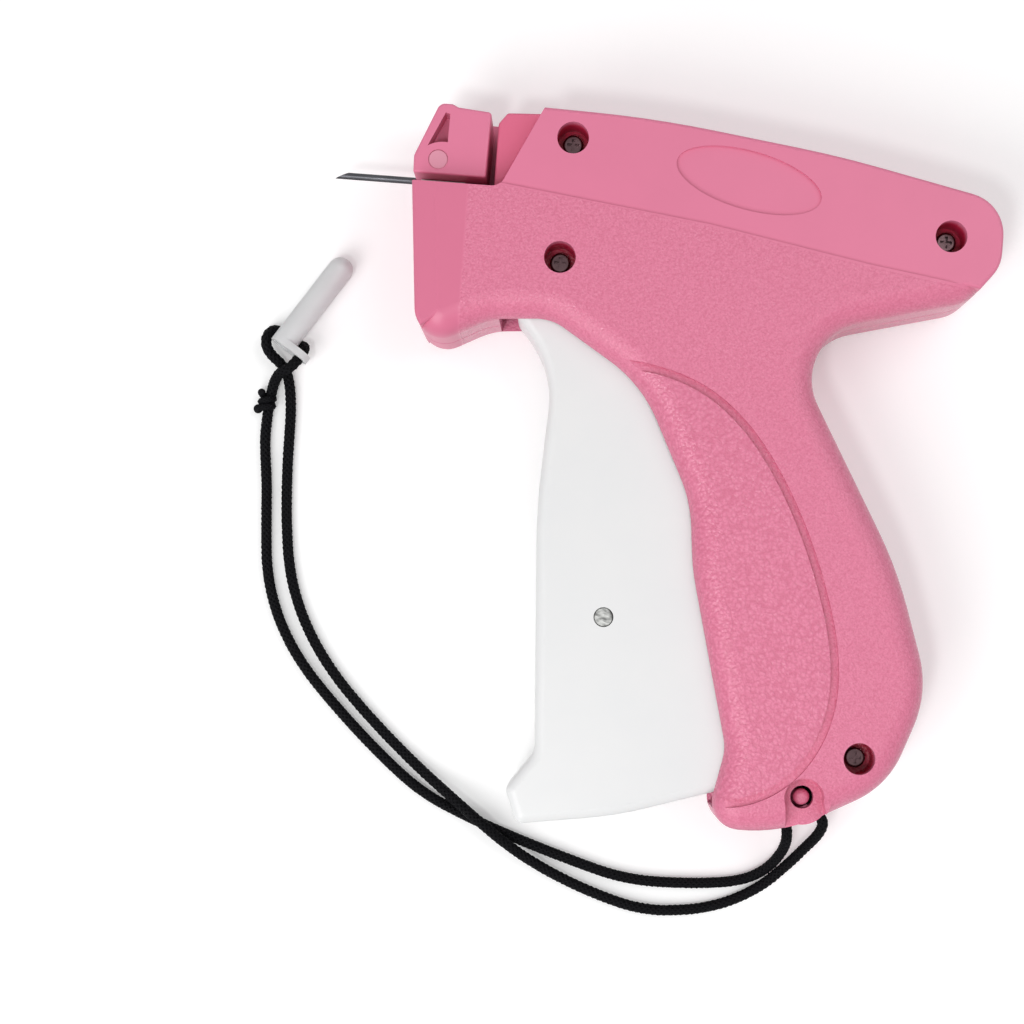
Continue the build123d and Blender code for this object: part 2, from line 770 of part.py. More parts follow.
with BuildPart() as needle_lock_pin:
    with BuildSketch(gun.offset(-half + slide_gap)):
        with Locations(lock_pin):
            Circle(lock_pin_diameter / 2)
    extrude(amount=half - slide_gap + block_face)
    chamfer(needle_lock_pin.edges().filter_by(GeomType.CIRCLE), 0.2)
needle_lock_pin.part.label = "needle_lock_pin"
export_step(needle_lock_pin.part, "parts/needle_lock_pin.step")

# Feed wheel: a tooth gap faces the pawl at rest
with BuildPart() as feed_wheel:
    with BuildSketch(wheel_plane.offset(-wheel_thickness / 2)):
        Circle(wheel_root)
        with PolarLocations(0, wheel_teeth, start_angle=mesh_angle + 180 + trigger_swing + 180 / wheel_teeth):
            Polygon(
                (wheel_root - 0.5, -0.6),
                (wheel_radius, -0.3),
                (wheel_radius, 0.3),
                (wheel_root - 0.5, 0.6),
                align=None,
            )
        Circle(wheel_shaft_diameter / 2 + fit_gap, mode=Mode.SUBTRACT)
    extrude(amount=wheel_thickness)
feed_wheel.part.label = "feed_wheel"
export_step(feed_wheel.part, "parts/feed_wheel.step")

with BuildPart() as feed_wheel_shaft:
    with BuildSketch(wheel_plane.offset(-shaft_half_length)):
        Circle(wheel_shaft_diameter / 2)
    extrude(amount=2 * shaft_half_length)
feed_wheel_shaft.part.label = "feed_wheel_shaft"
export_step(feed_wheel_shaft.part, "parts/feed_wheel_shaft.step")

# Pawl finger let into the trigger hub
with BuildPart() as feed_pawl:
    with BuildSketch(pawl_plane.offset(-pawl_half_width)):
        with BuildLine():
            Polyline(*pawl_outline, close=True)
        make_face()
    extrude(amount=2 * pawl_half_width)
feed_pawl.part.label = "feed_pawl"
export_step(feed_pawl.part, "parts/feed_pawl.step")

with BuildPart() as check_leaf:
    with BuildSketch(gun.offset(-leaf_half_width)):
        add(box_between(wheel_centre[0], leaf_root + 1.8, leaf_level, leaf_level + leaf_thickness))
    extrude(amount=2 * leaf_half_width)
check_leaf.part.label = "check_leaf"
export_step(check_leaf.part, "parts/check_leaf.step")

# Trigger: a white channel open to the back, hung on the hub round the front lower screw boss
with BuildPart() as trigger:
    with BuildSketch(gun.offset(-trigger_half)):
        add(rounded(trigger_outline))
    extrude(amount=trigger_width)
    fillet(trigger.faces().filter_by(Axis.Z).edges(), trigger_edge)
    with BuildSketch(gun.offset(-trigger_half)):
        with Locations(pivot):
            Circle(hub_radius)
    extrude(amount=trigger_width)
    with BuildSketch(gun.offset(trigger_wall - trigger_half)):
        add(rounded(trigger_channel))
    extrude(amount=trigger_width - 2 * trigger_wall, mode=Mode.SUBTRACT)
    with BuildSketch(gun.offset(-trigger_half)):
        with Locations(pivot):
            Circle(pivot_boss_radius + fit_gap)
    extrude(amount=trigger_width, mode=Mode.SUBTRACT)
    with BuildSketch(gun.offset(-trigger_half)):
        with Locations(link_pin):
            Circle(link_pin_diameter / 2)
    extrude(amount=trigger_width, mode=Mode.SUBTRACT)
    with BuildSketch(pawl_plane.offset(-pawl_half_width)):
        with BuildLine():
            Polyline(*pawl_outline, close=True)
        make_face()
    extrude(amount=2 * pawl_half_width, mode=Mode.SUBTRACT)
trigger.part.label = "trigger"
export_step(trigger.part, "parts/trigger.step")

with BuildPart() as trigger_link_pin:
    with BuildSketch(gun.offset(-trigger_half)):
        with Locations(link_pin):
            Circle(link_pin_diameter / 2)
    extrude(amount=trigger_width)
    chamfer(trigger_link_pin.edges().filter_by(GeomType.CIRCLE), 0.25)
trigger_link_pin.part.label = "trigger_link_pin"
export_step(trigger_link_pin.part, "parts/trigger_link_pin.step")

# Two link plates from the trigger pin to the foot of the lever, which runs in their cross slots
with BuildPart() as link_plates:
    for foot in (link_foot, -link_foot - link_thickness):
        with BuildSketch(link_plane.offset(foot)):
            with BuildLine():
                Line((0, 0), (link_length, 0))
            trace(line_width=5.0)
            with Locations((0, 0)):
                Circle(link_pin_diameter / 2 + 2.0)
            with Locations((link_length, -loop_play / 2)):
                SlotOverall(lever_pin_diameter + loop_play + 4.3, lever_pin_diameter + 4.3, rotation=90)
            Circle(link_pin_diameter / 2 + fit_gap, mode=Mode.SUBTRACT)
            with Locations((link_length, -loop_play / 2)):
                SlotOverall(
                    lever_pin_diameter + loop_play + 2 * slide_gap,
                    lever_pin_diameter + 2 * slide_gap,
                    rotation=90,
                    mode=Mode.SUBTRACT,
                )
        extrude(amount=link_thickness)
link_plates.part.label = "link_plates"
export_step(link_plates.part, "parts/link_plates.step")

# Drive lever: bent so that its upper arm clears the web behind the grip
with BuildPart() as drive_lever:
    with BuildSketch(gun.offset(-lever_thickness / 2)):
        with BuildLine():
            Polyline(lever_foot, lever_pin, lever_knee, lever_neck)
        trace(line_width=lever_width)
        with BuildLine():
            Line(lever_neck, lever_tip)
        trace(line_width=tip_radius + 0.5)
        with Locations(lever_knee, lever_neck):
            Circle(lever_width / 2)
        with Locations(lever_pin):
            Circle(lever_hub_radius)
        with Locations(lever_foot):
            Circle(lever_pin_diameter / 2 + 2.0)
        with Locations(lever_tip):
            Circle(tip_radius)
        with Locations(lever_pin):
            Circle(lever_pin_diameter / 2 + fit_gap, mode=Mode.SUBTRACT)
        with Locations(lever_foot):
            Circle(lever_pin_diameter / 2, mode=Mode.SUBTRACT)
    extrude(amount=lever_thickness)
drive_lever.part.label = "drive_lever"
export_step(drive_lever.part, "parts/drive_lever.step")

with BuildPart() as lever_pivot_pin:
    with BuildSketch(gun.offset(-ceiling + slide_gap)):
        with Locations(lever_pin):
            Circle(lever_pin_diameter / 2)
    extrude(amount=2 * (ceiling - slide_gap))
lever_pivot_pin.part.label = "lever_pivot_pin"
export_step(lever_pivot_pin.part, "parts/lever_pivot_pin.step")

with BuildPart() as lever_foot_pin:
    with BuildSketch(gun.offset(-link_foot - link_thickness - link_gap)):
        with Locations(lever_foot):
            Circle(lever_pin_diameter / 2)
    extrude(amount=2 * (link_foot + link_thickness + link_gap))
lever_foot_pin.part.label = "lever_foot_pin"
export_step(lever_foot_pin.part, "parts/lever_foot_pin.step")

# Ejector slide with a notch for the lever tip, and its steel rod
with BuildPart() as ejector_slide:
    with BuildSketch(gun.offset(-slide_half_width)):
        add(box_between(slide_front, slide_back, slide_bottom, slide_top))
    extrude(amount=2 * slide_half_width)
    fillet(ejector_slide.edges().filter_by(Axis.Z), 0.8)
    with BuildSketch(gun.offset(-lever_thickness / 2 - slide_gap)):
        with Locations((lever_tip[0], (slide_top + slide_bottom) / 2)):
            Rectangle(2 * (tip_radius + slide_gap), 2 * slide_height)
    extrude(amount=lever_thickness + 2 * slide_gap, mode=Mode.SUBTRACT)
    with BuildSketch(along.offset(slide_front)):
        Circle(rod_diameter / 2)
    extrude(amount=rod_socket, mode=Mode.SUBTRACT)
ejector_slide.part.label = "ejector_slide"
export_step(ejector_slide.part, "parts/ejector_slide.step")

with BuildPart() as ejector_rod:
    with BuildSketch(along.offset(rod_tip)):
        Circle(rod_diameter / 2)
    extrude(amount=slide_front + rod_socket - rod_tip)
ejector_rod.part.label = "ejector_rod"
export_step(ejector_rod.part, "parts/ejector_rod.step")

# Return spring round the lever pivot: a hook behind the lever's lower arm, the turns and a leg at the back
with BuildPart() as return_spring:
    with BuildLine() as spring_line:
        FilletPolyline(*spring_route, radius=bend_radii(spring_route))
    with BuildSketch(Plane(origin=spring_line.line @ 0, z_dir=spring_line.line % 0)) as wire:
        Circle(spring_wire / 2)
    sweep(wire.sketch, path=spring_line.line)
return_spring.part.label = "return_spring"
export_step(return_spring.part, "parts/return_spring.step")

# Four housing screws with cross recesses
with BuildPart() as housing_screws:
    with BuildSketch(gun.offset(head_seat)):
        with Locations(*screws):
            Circle(head_diameter / 2)
    extrude(amount=head_height)
    fillet(housing_screws.faces().sort_by(Axis.Z)[-4:].edges(), 0.5)
    with BuildSketch(gun.offset(head_seat - shank_length)):
        with Locations(*screws):
            Circle(shank_diameter / 2)
    extrude(amount=shank_length)
    with BuildSketch(gun.offset(head_seat + head_height - 1.1)):
        with Locations(*screws):
            Rectangle(2.6, 0.7)
            Rectangle(0.7, 2.6)
    extrude(amount=head_height, mode=Mode.SUBTRACT)
housing_screws.part.label = "housing_screws"
export_step(housing_screws.part, "parts/housing_screws.step")

# Needle cap: a blind tube with a domed end, and a plate at its mouth with an ear for the cord
with BuildPart() as needle_cap:
    with BuildSketch(cap_plane.offset(-plate_thickness / 2)):
        with Locations(((cap_diameter / 2 - ear_reach) / 2, 0)):
            SlotOverall(ear_reach + cap_diameter / 2, cap_diameter)
    extrude(amount=plate_thickness)
    with BuildSketch(cap_plane):
        Circle(cap_diameter / 2)
    extrude(amount=cap_length - cap_diameter / 2)
    with Locations(cap_plane.offset(cap_length - cap_diameter / 2)):
        Sphere(cap_diameter / 2)
    with BuildSketch(cap_plane.offset(-plate_thickness / 2)):
        Circle(cap_bore / 2)
    extrude(amount=cap_length - cap_end_wall, mode=Mode.SUBTRACT)
    with BuildSketch(cap_plane.offset(-plate_thickness / 2)):
        with Locations((ear_centre, 0)):
            Circle(ear_hole / 2)
    extrude(amount=plate_thickness, mode=Mode.SUBTRACT)
needle_cap.part.label = "needle_cap"
export_step(needle_cap.part, "parts/needle_cap.step")

# Lanyard cord: one round cord, its two ends meeting inside the butt
cord_radii = bend_radii(cord_route)
with BuildPart() as lanyard_cord:
    with BuildLine() as cord_line:
        FilletPolyline(*cord_route, radius=cord_radii)
    with BuildSketch(Plane(origin=cord_line.line @ 0, z_dir=cord_line.line % 0)) as cord_section:
        Circle(cord_diameter / 2)
    sweep(cord_section.sketch, path=cord_line.line)
lanyard_cord.part.label = "lanyard_cord"
export_step(lanyard_cord.part, "parts/lanyard_cord.step")
cord_length = cord_line.wire().length
section_area = pi * cord_diameter**2 / 4
print("cord length", round(cord_length, 1), "smallest bend", round(min(cord_radii), 2))
print("bends", [round(radius, 1) for radius in cord_radii])
print("tube volume over section times length", round(lanyard_cord.part.volume / section_area / cord_length, 4))

# Knot: a tight lump on the left strand, with two short melted stubs
with BuildPart() as lanyard_knot:
    with BuildSketch(knot_plane):
        Circle(knot_radius)
    extrude(amount=knot_length)
    fillet(lanyard_knot.edges().filter_by(GeomType.CIRCLE), 0.8)
    for way in stub_ways:
        with BuildSketch(Plane(origin=knot_middle, z_dir=way)):
            Circle(stub_diameter / 2)
        extrude(amount=stub_length)
lanyard_knot.part.label = "lanyard_knot"
export_step(lanyard_knot.part, "parts/lanyard_knot.step")
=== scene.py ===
# %% [markdown]
# Fabric tagging tool. The tool lies on its right side on a pale table, as in the photograph.
# The solids come from CAD and keep their shape. This lesson gives them finishes, lays a braided cord along
# the lanyard's route, ties its knot, winds a return spring, and sets the table, the light and the camera.

# %% Load the frame
import math

import bmesh
import bpy
from mathutils import Matrix, Vector


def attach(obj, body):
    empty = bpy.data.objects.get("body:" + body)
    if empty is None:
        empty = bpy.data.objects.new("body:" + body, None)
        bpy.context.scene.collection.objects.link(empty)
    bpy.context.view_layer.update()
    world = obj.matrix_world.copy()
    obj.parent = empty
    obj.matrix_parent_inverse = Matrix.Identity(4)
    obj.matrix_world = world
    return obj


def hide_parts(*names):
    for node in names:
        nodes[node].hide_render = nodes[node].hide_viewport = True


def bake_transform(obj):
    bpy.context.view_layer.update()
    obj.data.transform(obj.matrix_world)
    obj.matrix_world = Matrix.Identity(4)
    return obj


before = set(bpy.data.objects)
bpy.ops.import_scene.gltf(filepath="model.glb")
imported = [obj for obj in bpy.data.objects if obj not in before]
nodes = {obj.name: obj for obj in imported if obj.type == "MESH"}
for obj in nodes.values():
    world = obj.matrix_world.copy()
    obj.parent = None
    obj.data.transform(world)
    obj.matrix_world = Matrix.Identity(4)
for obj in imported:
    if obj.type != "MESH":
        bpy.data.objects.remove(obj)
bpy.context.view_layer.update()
MM = 0.001
TURN = 2 * math.pi
GUN_ORIGIN = Vector((-55.75, 61.55, 13.5))


def on_gun(x, y, z=0.0):
    """Point of the gun's own frame, in metres: back from the nose, up from the needle, out to the left."""
    return (GUN_ORIGIN + Vector((x, y, z))) * MM


# %% [markdown]
# The photograph was taken from straight above, a little turned, and cropped off centre. A camera that looks
# down with a lens shift gives the same picture, because shift crops without tilting the view.

# %% Camera
PHOTO_TURN = math.radians(4.3)
CAMERA_SPOT = Vector((-12.28, -38.25, 463.5)) * MM
camera_data = bpy.data.cameras.new("photo_camera")
camera_data.sensor_width = 36.0
camera_data.lens = 71.9
camera_data.shift_x = -0.0615
camera_data.shift_y = 0.1328
camera_data.clip_start = 0.01
camera = bpy.data.objects.new("photo_camera", camera_data)
camera.location = CAMERA_SPOT
camera.rotation_euler = (0.0, 0.0, PHOTO_TURN)
bpy.context.scene.collection.objects.link(camera)
bpy.context.scene.camera = camera
print("camera looks down from", [round(c, 3) for c in CAMERA_SPOT])

# %% [markdown]
# The lanyard is one cord, about as thick as a boot lace. Its route is a list of points, and a NURBS spline
# rounds them off as a limp cord would. The points of the hitch are given in the frame of the needle cap,
# because there the cord follows the cap: up through its ear, under its neck and round the end of its plate.

# %% Lanyard route
CORD = 2.6
FLOOR = CORD / 2 + 0.1
CAP_SEAT = Vector((-82.4, 24.9, 5.6))
CAP_END = Vector((-69.8, 45.0, 2.95))
cap_along = (CAP_END - CAP_SEAT).normalized()
cap_left = Vector((-cap_along.y, cap_along.x, 0.0)).normalized()
cap_up = cap_along.cross(cap_left)
CAP_WIDTH = 5.7
PLATE = 1.65
EAR_REACH = 6.75
EAR = -EAR_REACH + CAP_WIDTH / 2 - 0.8
UNDER_NECK = (CAP_WIDTH + CORD) / 2 - 0.15
OVER_PLATE = (PLATE + CORD) / 2 + 0.2
BUTT_DROP = 136.2
POST_WIDTH = 3.5
POST = GUN_ORIGIN + Vector((94.7, 8.0 - BUTT_DROP, 0.0))
BIGHT = (POST_WIDTH + CORD) / 2 + 0.25
LEVEL = GUN_ORIGIN.z
strand_to_cap = [
    (POST.x + BIGHT, POST.y - 2.0, LEVEL),
    (POST.x + BIGHT, POST.y + BIGHT, LEVEL),
    (POST.x - BIGHT, POST.y + BIGHT, LEVEL),
    (POST.x - BIGHT, POST.y - 2.4, LEVEL),
    (37.6, -75.2, 12.6),
    (37.5, -79.6, 8.2),
    (34.6, -84.6, 3.2),
    (29.0, -88.0, FLOOR),
    (17.6, -89.4, FLOOR),
    (3.0, -89.6, FLOOR),
    (-11.0, -85.7, FLOOR),
    (-24.0, -81.6, FLOOR),
    (-35.4, -77.4, FLOOR),
    (-45.0, -73.0, FLOOR),
    (-55.0, -65.0, FLOOR),
    (-65.4, -55.3, FLOOR),
    (-74.0, -46.1, FLOOR),
    (-79.8, -36.5, FLOOR),
    (-83.0, -26.5, FLOOR),
    (-83.9, -16.0, FLOOR),
    (-84.5, -6.0, FLOOR),
    (-85.7, 3.0, FLOOR),
    (-85.5, 9.5, FLOOR),
    (-85.0, 13.9, 1.6),
    (-84.3, 16.6, 2.7),
    (-83.0, 18.6, 4.3),
]
hitch = [
    (EAR, 0.0, -3.4),
    (EAR, 0.0, OVER_PLATE),
    (-2.4, -UNDER_NECK, OVER_PLATE),
    (2.4, -UNDER_NECK, OVER_PLATE),
    (UNDER_NECK + 0.3, -2.4, 1.6),
    (UNDER_NECK + 0.4, -1.6, -1.2),
    (2.2, -2.6, -3.4),
]
strand_to_post = [
    (-82.4, 20.2, 1.8),
    (-81.3, 17.4, FLOOR),
    (-80.6, 14.0, FLOOR),
    (-80.2, 9.0, FLOOR),
    (-80.2, -2.0, FLOOR),
    (-79.4, -15.5, FLOOR),
    (-77.6, -27.5, FLOOR),
    (-73.0, -38.6, FLOOR),
    (-66.0, -48.6, FLOOR),
    (-56.5, -58.2, FLOOR),
    (-46.5, -67.0, FLOOR),
    (-38.5, -73.0, 3.4),
    (-31.5, -78.2, 4.5),
    (-24.5, -83.4, 3.8),
    (-16.0, -88.4, 1.7),
    (-5.0, -92.9, FLOOR),
    (7.0, -96.2, FLOOR),
    (18.0, -95.4, FLOOR),
    (26.4, -93.0, FLOOR),
    (33.6, -88.6, 2.8),
    (38.4, -83.4, 5.6),
    (42.2, -78.6, 8.4),
    (45.0, -74.6, 11.6),
    (45.2, -71.6, 13.3),
    (POST.x + BIGHT, POST.y - 2.6, LEVEL),
]


def smooth_line(name, points_mm, resolution):
    """Points, in metres, along a NURBS spline that has the given control points in millimetres."""
    curve = bpy.data.curves.new(name, "CURVE")
    curve.dimensions = "3D"
    spline = curve.splines.new("NURBS")
    spline.points.add(len(points_mm) - 1)
    for point, spot in zip(spline.points, points_mm):
        point.co = (*(Vector(spot) * MM), 1.0)
    spline.order_u = 3
    spline.use_endpoint_u = True
    spline.resolution_u = resolution
    holder = bpy.data.objects.new(name, curve)
    bpy.context.scene.collection.objects.link(holder)
    line = bpy.data.meshes.new_from_object(holder)
    points = [vertex.co.copy() for vertex in line.vertices]
    bpy.data.objects.remove(holder)
    bpy.data.meshes.remove(line)
    return points


hitch_spots = [CAP_SEAT + cap_left * left + cap_up * up + cap_along * along for left, up, along in hitch]
route = strand_to_cap + [tuple(spot) for spot in hitch_spots] + strand_to_post
cord_line = smooth_line("lanyard_route", route, resolution=12)

# %% [markdown]
# A braid is made of yarns that run round the core in both directions and take turns to be on top. Placing
# each yarn by hand would be hopeless, but it follows a rule, so a Geometry Nodes tree does it: it copies the
# route once for each yarn, turns each copy round the route, and lifts and lowers it at every crossing.

# %% Braid tree
YARN_SIDES = 5
CORE_SIDES = 8


def add_input(tree, name, kind, value=None):
    """Named input of a node tree, with its start value."""
    socket = tree.interface.new_socket(name=name, in_out="INPUT", socket_type=kind)
    if value is not None:
        socket.default_value = value
    return socket


def wire(tree, source, target):
    """Link an output to an input, or set the input where the source is a plain value."""
    if isinstance(source, bpy.types.NodeSocket):
        tree.links.new(source, target)
    elif source is not None:
        target.default_value = source


def math_node(tree, operation, first, second=None):
    """Math node with one or two inputs; gives its output."""
    node = tree.nodes.new("ShaderNodeMath")
    node.operation = operation
    wire(tree, first, node.inputs[0])
    wire(tree, second, node.inputs[1])
    return node.outputs[0]


def vector_node(tree, operation, first, second=None, scale=None):
    """Vector Math node; gives its vector output."""
    node = tree.nodes.new("ShaderNodeVectorMath")
    node.operation = operation
    wire(tree, first, node.inputs[0])
    wire(tree, second, node.inputs[1])
    wire(tree, scale, node.inputs[3])
    return node.outputs[0]


braid = bpy.data.node_groups.new("braided_cord", "GeometryNodeTree")
braid.interface.new_socket(name="Geometry", in_out="OUTPUT", socket_type="NodeSocketGeometry")
add_input(braid, "Geometry", "NodeSocketGeometry")
add_input(braid, "Yarns Each Way", "NodeSocketInt", 6)
add_input(braid, "Braid Radius", "NodeSocketFloat", 0.00088)
add_input(braid, "Yarn Radius", "NodeSocketFloat", 0.00033)
add_input(braid, "Lift", "NodeSocketFloat", 0.00008)
add_input(braid, "Pitch", "NodeSocketFloat", 0.0075)
add_input(braid, "Step", "NodeSocketFloat", 0.0004)
add_input(braid, "Finish", "NodeSocketMaterial")
inlet = braid.nodes.new("NodeGroupInput").outputs
path = braid.nodes.new("GeometryNodeMeshToCurve")
braid.links.new(inlet["Geometry"], path.inputs[0])
even = braid.nodes.new("GeometryNodeResampleCurve")
even.mode = "LENGTH"
braid.links.new(path.outputs[0], even.inputs["Curve"])
braid.links.new(inlet["Step"], even.inputs["Length"])
copies = braid.nodes.new("GeometryNodeDuplicateElements")
copies.domain = "SPLINE"
braid.links.new(even.outputs[0], copies.inputs["Geometry"])
braid.links.new(math_node(braid, "MULTIPLY", inlet["Yarns Each Way"], 2.0), copies.inputs["Amount"])
yarn_number = copies.outputs["Duplicate Index"]
last_onward = math_node(braid, "SUBTRACT", inlet["Yarns Each Way"], 0.5)
going_back = math_node(braid, "GREATER_THAN", yarn_number, last_onward)
way = math_node(braid, "SUBTRACT", 1.0, math_node(braid, "MULTIPLY", going_back, 2.0))
run = braid.nodes.new("GeometryNodeSplineParameter").outputs["Length"]
turns = math_node(braid, "DIVIDE", run, inlet["Pitch"])
start = math_node(braid, "DIVIDE", yarn_number, inlet["Yarns Each Way"])
turned = math_node(braid, "ADD", math_node(braid, "MULTIPLY", turns, way), start)
angle = math_node(braid, "MULTIPLY", turned, TURN)
crossings = math_node(braid, "MULTIPLY", turns, inlet["Yarns Each Way"])
wave = math_node(braid, "COSINE", math_node(braid, "MULTIPLY", crossings, TURN))
lift = math_node(braid, "MULTIPLY", wave, math_node(braid, "MULTIPLY", way, inlet["Lift"]))
reach = math_node(braid, "ADD", inlet["Braid Radius"], lift)
tangent = braid.nodes.new("GeometryNodeInputTangent").outputs[0]
side = braid.nodes.new("GeometryNodeInputNormal").outputs[0]
across = vector_node(braid, "CROSS_PRODUCT", tangent, side)
side_reach = math_node(braid, "MULTIPLY", math_node(braid, "COSINE", angle), reach)
across_reach = math_node(braid, "MULTIPLY", math_node(braid, "SINE", angle), reach)
offset = vector_node(
    braid,
    "ADD",
    vector_node(braid, "SCALE", side, scale=side_reach),
    vector_node(braid, "SCALE", across, scale=across_reach),
)
yarns = braid.nodes.new("GeometryNodeSetPosition")
braid.links.new(copies.outputs["Geometry"], yarns.inputs["Geometry"])
braid.links.new(offset, yarns.inputs["Offset"])


def round_tube(tree, line, radius, sides):
    """Tube of a given radius along a curve of the tree."""
    ring = tree.nodes.new("GeometryNodeCurvePrimitiveCircle")
    ring.inputs["Resolution"].default_value = sides
    wire(tree, radius, ring.inputs["Radius"])
    tube = tree.nodes.new("GeometryNodeCurveToMesh")
    tree.links.new(line, tube.inputs["Curve"])
    tree.links.new(ring.outputs["Curve"], tube.inputs["Profile Curve"])
    tube.inputs["Fill Caps"].default_value = True
    return tube.outputs["Mesh"]


def end_tree(tree, mesh, finish):
    """Last nodes of a tree: smooth shading, real geometry and the finish."""
    soft_shade = tree.nodes.new("GeometryNodeSetShadeSmooth")
    tree.links.new(mesh, soft_shade.inputs[0])
    real = tree.nodes.new("GeometryNodeRealizeInstances")
    tree.links.new(soft_shade.outputs[0], real.inputs[0])
    dye = tree.nodes.new("GeometryNodeSetMaterial")
    tree.links.new(real.outputs[0], dye.inputs["Geometry"])
    tree.links.new(finish, dye.inputs["Material"])
    outlet = tree.nodes.new("NodeGroupOutput")
    tree.links.new(dye.outputs[0], outlet.inputs[0])


together = braid.nodes.new("GeometryNodeJoinGeometry")
braid.links.new(round_tube(braid, yarns.outputs[0], inlet["Yarn Radius"], YARN_SIDES), together.inputs[0])
braid.links.new(round_tube(braid, even.outputs[0], inlet["Braid Radius"], CORE_SIDES), together.inputs[0])
end_tree(braid, together.outputs[0], inlet["Finish"])
print("braid tree:", len(braid.nodes), "nodes")

# %% [markdown]
# Materials share a few effects. "speckle" is the fine spark-eroded skin of the mould, "hide_grain" the
# leather-like skin below the band, and "handling" the faint unevenness of any used surface. Each is a shader
# group that gives heights or masks, so that every material can use it at its own size and strength.

# %% Shader groups


def shader_group(name, inputs, outputs):
    """Empty shader group with float inputs and outputs; gives the tree and its two end nodes."""
    tree = bpy.data.node_groups.new(name, "ShaderNodeTree")
    for label, value in inputs:
        add_input(tree, label, "NodeSocketFloat", value)
    for label in outputs:
        tree.interface.new_socket(name=label, in_out="OUTPUT", socket_type="NodeSocketFloat")
    return tree, tree.nodes.new("NodeGroupInput"), tree.nodes.new("NodeGroupOutput")


def object_place(tree):
    """Object coordinates, in metres in the frame of the whole tool."""
    return tree.nodes.new("ShaderNodeTexCoord").outputs["Object"]


def noise(tree, place, scale, detail=2.0, roughness=0.5):
    """Noise texture; gives its value."""
    node = tree.nodes.new("ShaderNodeTexNoise")
    wire(tree, place, node.inputs["Vector"])
    wire(tree, scale, node.inputs["Scale"])
    node.inputs["Detail"].default_value = detail
    node.inputs["Roughness"].default_value = roughness
    return node.outputs[0]


def map_range(tree, value, low, high, to_low=0.0, to_high=1.0):
    """Map Range node, clamped; gives its result."""
    node = tree.nodes.new("ShaderNodeMapRange")
    wire(tree, value, node.inputs["Value"])
    for label, number in (("From Min", low), ("From Max", high), ("To Min", to_low), ("To Max", to_high)):
        wire(tree, number, node.inputs[label])
    return node.outputs[0]


speckle, speckle_in, speckle_out = shader_group("speckle", [("Grains per Metre", 1500.0)], ["Height"])
grains = noise(speckle, object_place(speckle), speckle_in.outputs[0], detail=3.0, roughness=0.6)
speckle.links.new(map_range(speckle, grains, 0.36, 0.64), speckle_out.inputs["Height"])

WOBBLES_PER_METRE = 420.0
WOBBLE_REACH = 0.0012
hide, hide_in, hide_out = shader_group("hide_grain", [("Grains per Metre", 900.0)], ["Height"])
hide_place = object_place(hide)
wobble = hide.nodes.new("ShaderNodeTexNoise")
wobble.inputs["Scale"].default_value = WOBBLES_PER_METRE
hide.links.new(hide_place, wobble.inputs["Vector"])
shift = vector_node(hide, "SCALE", wobble.outputs["Color"], scale=WOBBLE_REACH)
cells = hide.nodes.new("ShaderNodeTexVoronoi")
cells.feature = "SMOOTH_F1"
cells.inputs["Smoothness"].default_value = 0.35
hide.links.new(vector_node(hide, "ADD", hide_place, shift), cells.inputs["Vector"])
hide.links.new(hide_in.outputs[0], cells.inputs["Scale"])
hide.links.new(map_range(hide, cells.outputs["Distance"], 0.1, 0.75, 1.0, 0.0), hide_out.inputs["Height"])

SKIN_PER_METRE = 4200.0
handling, handling_in, handling_out = shader_group("handling", [("Size", 60.0)], ["Patches", "Fine"])
patches = noise(handling, object_place(handling), handling_in.outputs[0], detail=4.0, roughness=0.6)
handling.links.new(patches, handling_out.inputs["Patches"])
handling.links.new(noise(handling, object_place(handling), SKIN_PER_METRE), handling_out.inputs["Fine"])
print("shader groups:", [group.name for group in (speckle, hide, handling)])

# %% [markdown]
# Helpers for the materials. A finish has one Principled shader; its colour, roughness and height come from
# the groups, mixed by masks. Whatever is the same all over is set on the shader itself.

# %% Material helpers


def new_finish(name):
    """Material with its Principled shader; gives the material, its tree and the shader."""
    material = bpy.data.materials.new(name)
    material.use_nodes = True
    return material, material.node_tree, material.node_tree.nodes["Principled BSDF"]


def use_group(tree, group, *values):
    """Place a shader group in a material with its own values."""
    node = tree.nodes.new("ShaderNodeGroup")
    node.node_tree = group
    for socket, value in zip(node.inputs, values):
        socket.default_value = value
    return node.outputs


def mix_colour(tree, amount, first, second):
    """Colour between two colours."""
    node = tree.nodes.new("ShaderNodeMix")
    node.data_type = "RGBA"
    wire(tree, amount, node.inputs[0])
    wire(tree, first if isinstance(first, bpy.types.NodeSocket) else (*first, 1.0), node.inputs[6])
    wire(tree, second if isinstance(second, bpy.types.NodeSocket) else (*second, 1.0), node.inputs[7])
    return node.outputs[2]


def mix_value(tree, amount, first, second):
    """Value between two values."""
    node = tree.nodes.new("ShaderNodeMix")
    wire(tree, amount, node.inputs[0])
    wire(tree, first, node.inputs[2])
    wire(tree, second, node.inputs[3])
    return node.outputs[0]


def clouded(tree, worn, low=0.0, high=1.0):
    """Patches of the handling group, spread out between two values."""
    return map_range(tree, worn["Patches"], 0.3, 0.7, low, high)


def vector_value(tree, operation, first, second=None):
    """Vector Math node that gives a number, such as a length."""
    node = tree.nodes.new("ShaderNodeVectorMath")
    node.operation = operation
    wire(tree, first, node.inputs[0])
    wire(tree, second, node.inputs[1])
    return node.outputs["Value"]


def bump(tree, shader, height, depth):
    """Bump of a given depth in metres."""
    node = tree.nodes.new("ShaderNodeBump")
    node.inputs["Strength"].default_value = 1.0
    node.inputs["Distance"].default_value = depth
    wire(tree, height, node.inputs["Height"])
    tree.links.new(node.outputs[0], shader.inputs["Normal"])


def share(value, low, high):
    """Place of a value in a range, 0 at its low end and 1 at its high end."""
    return (value - low) / (high - low)


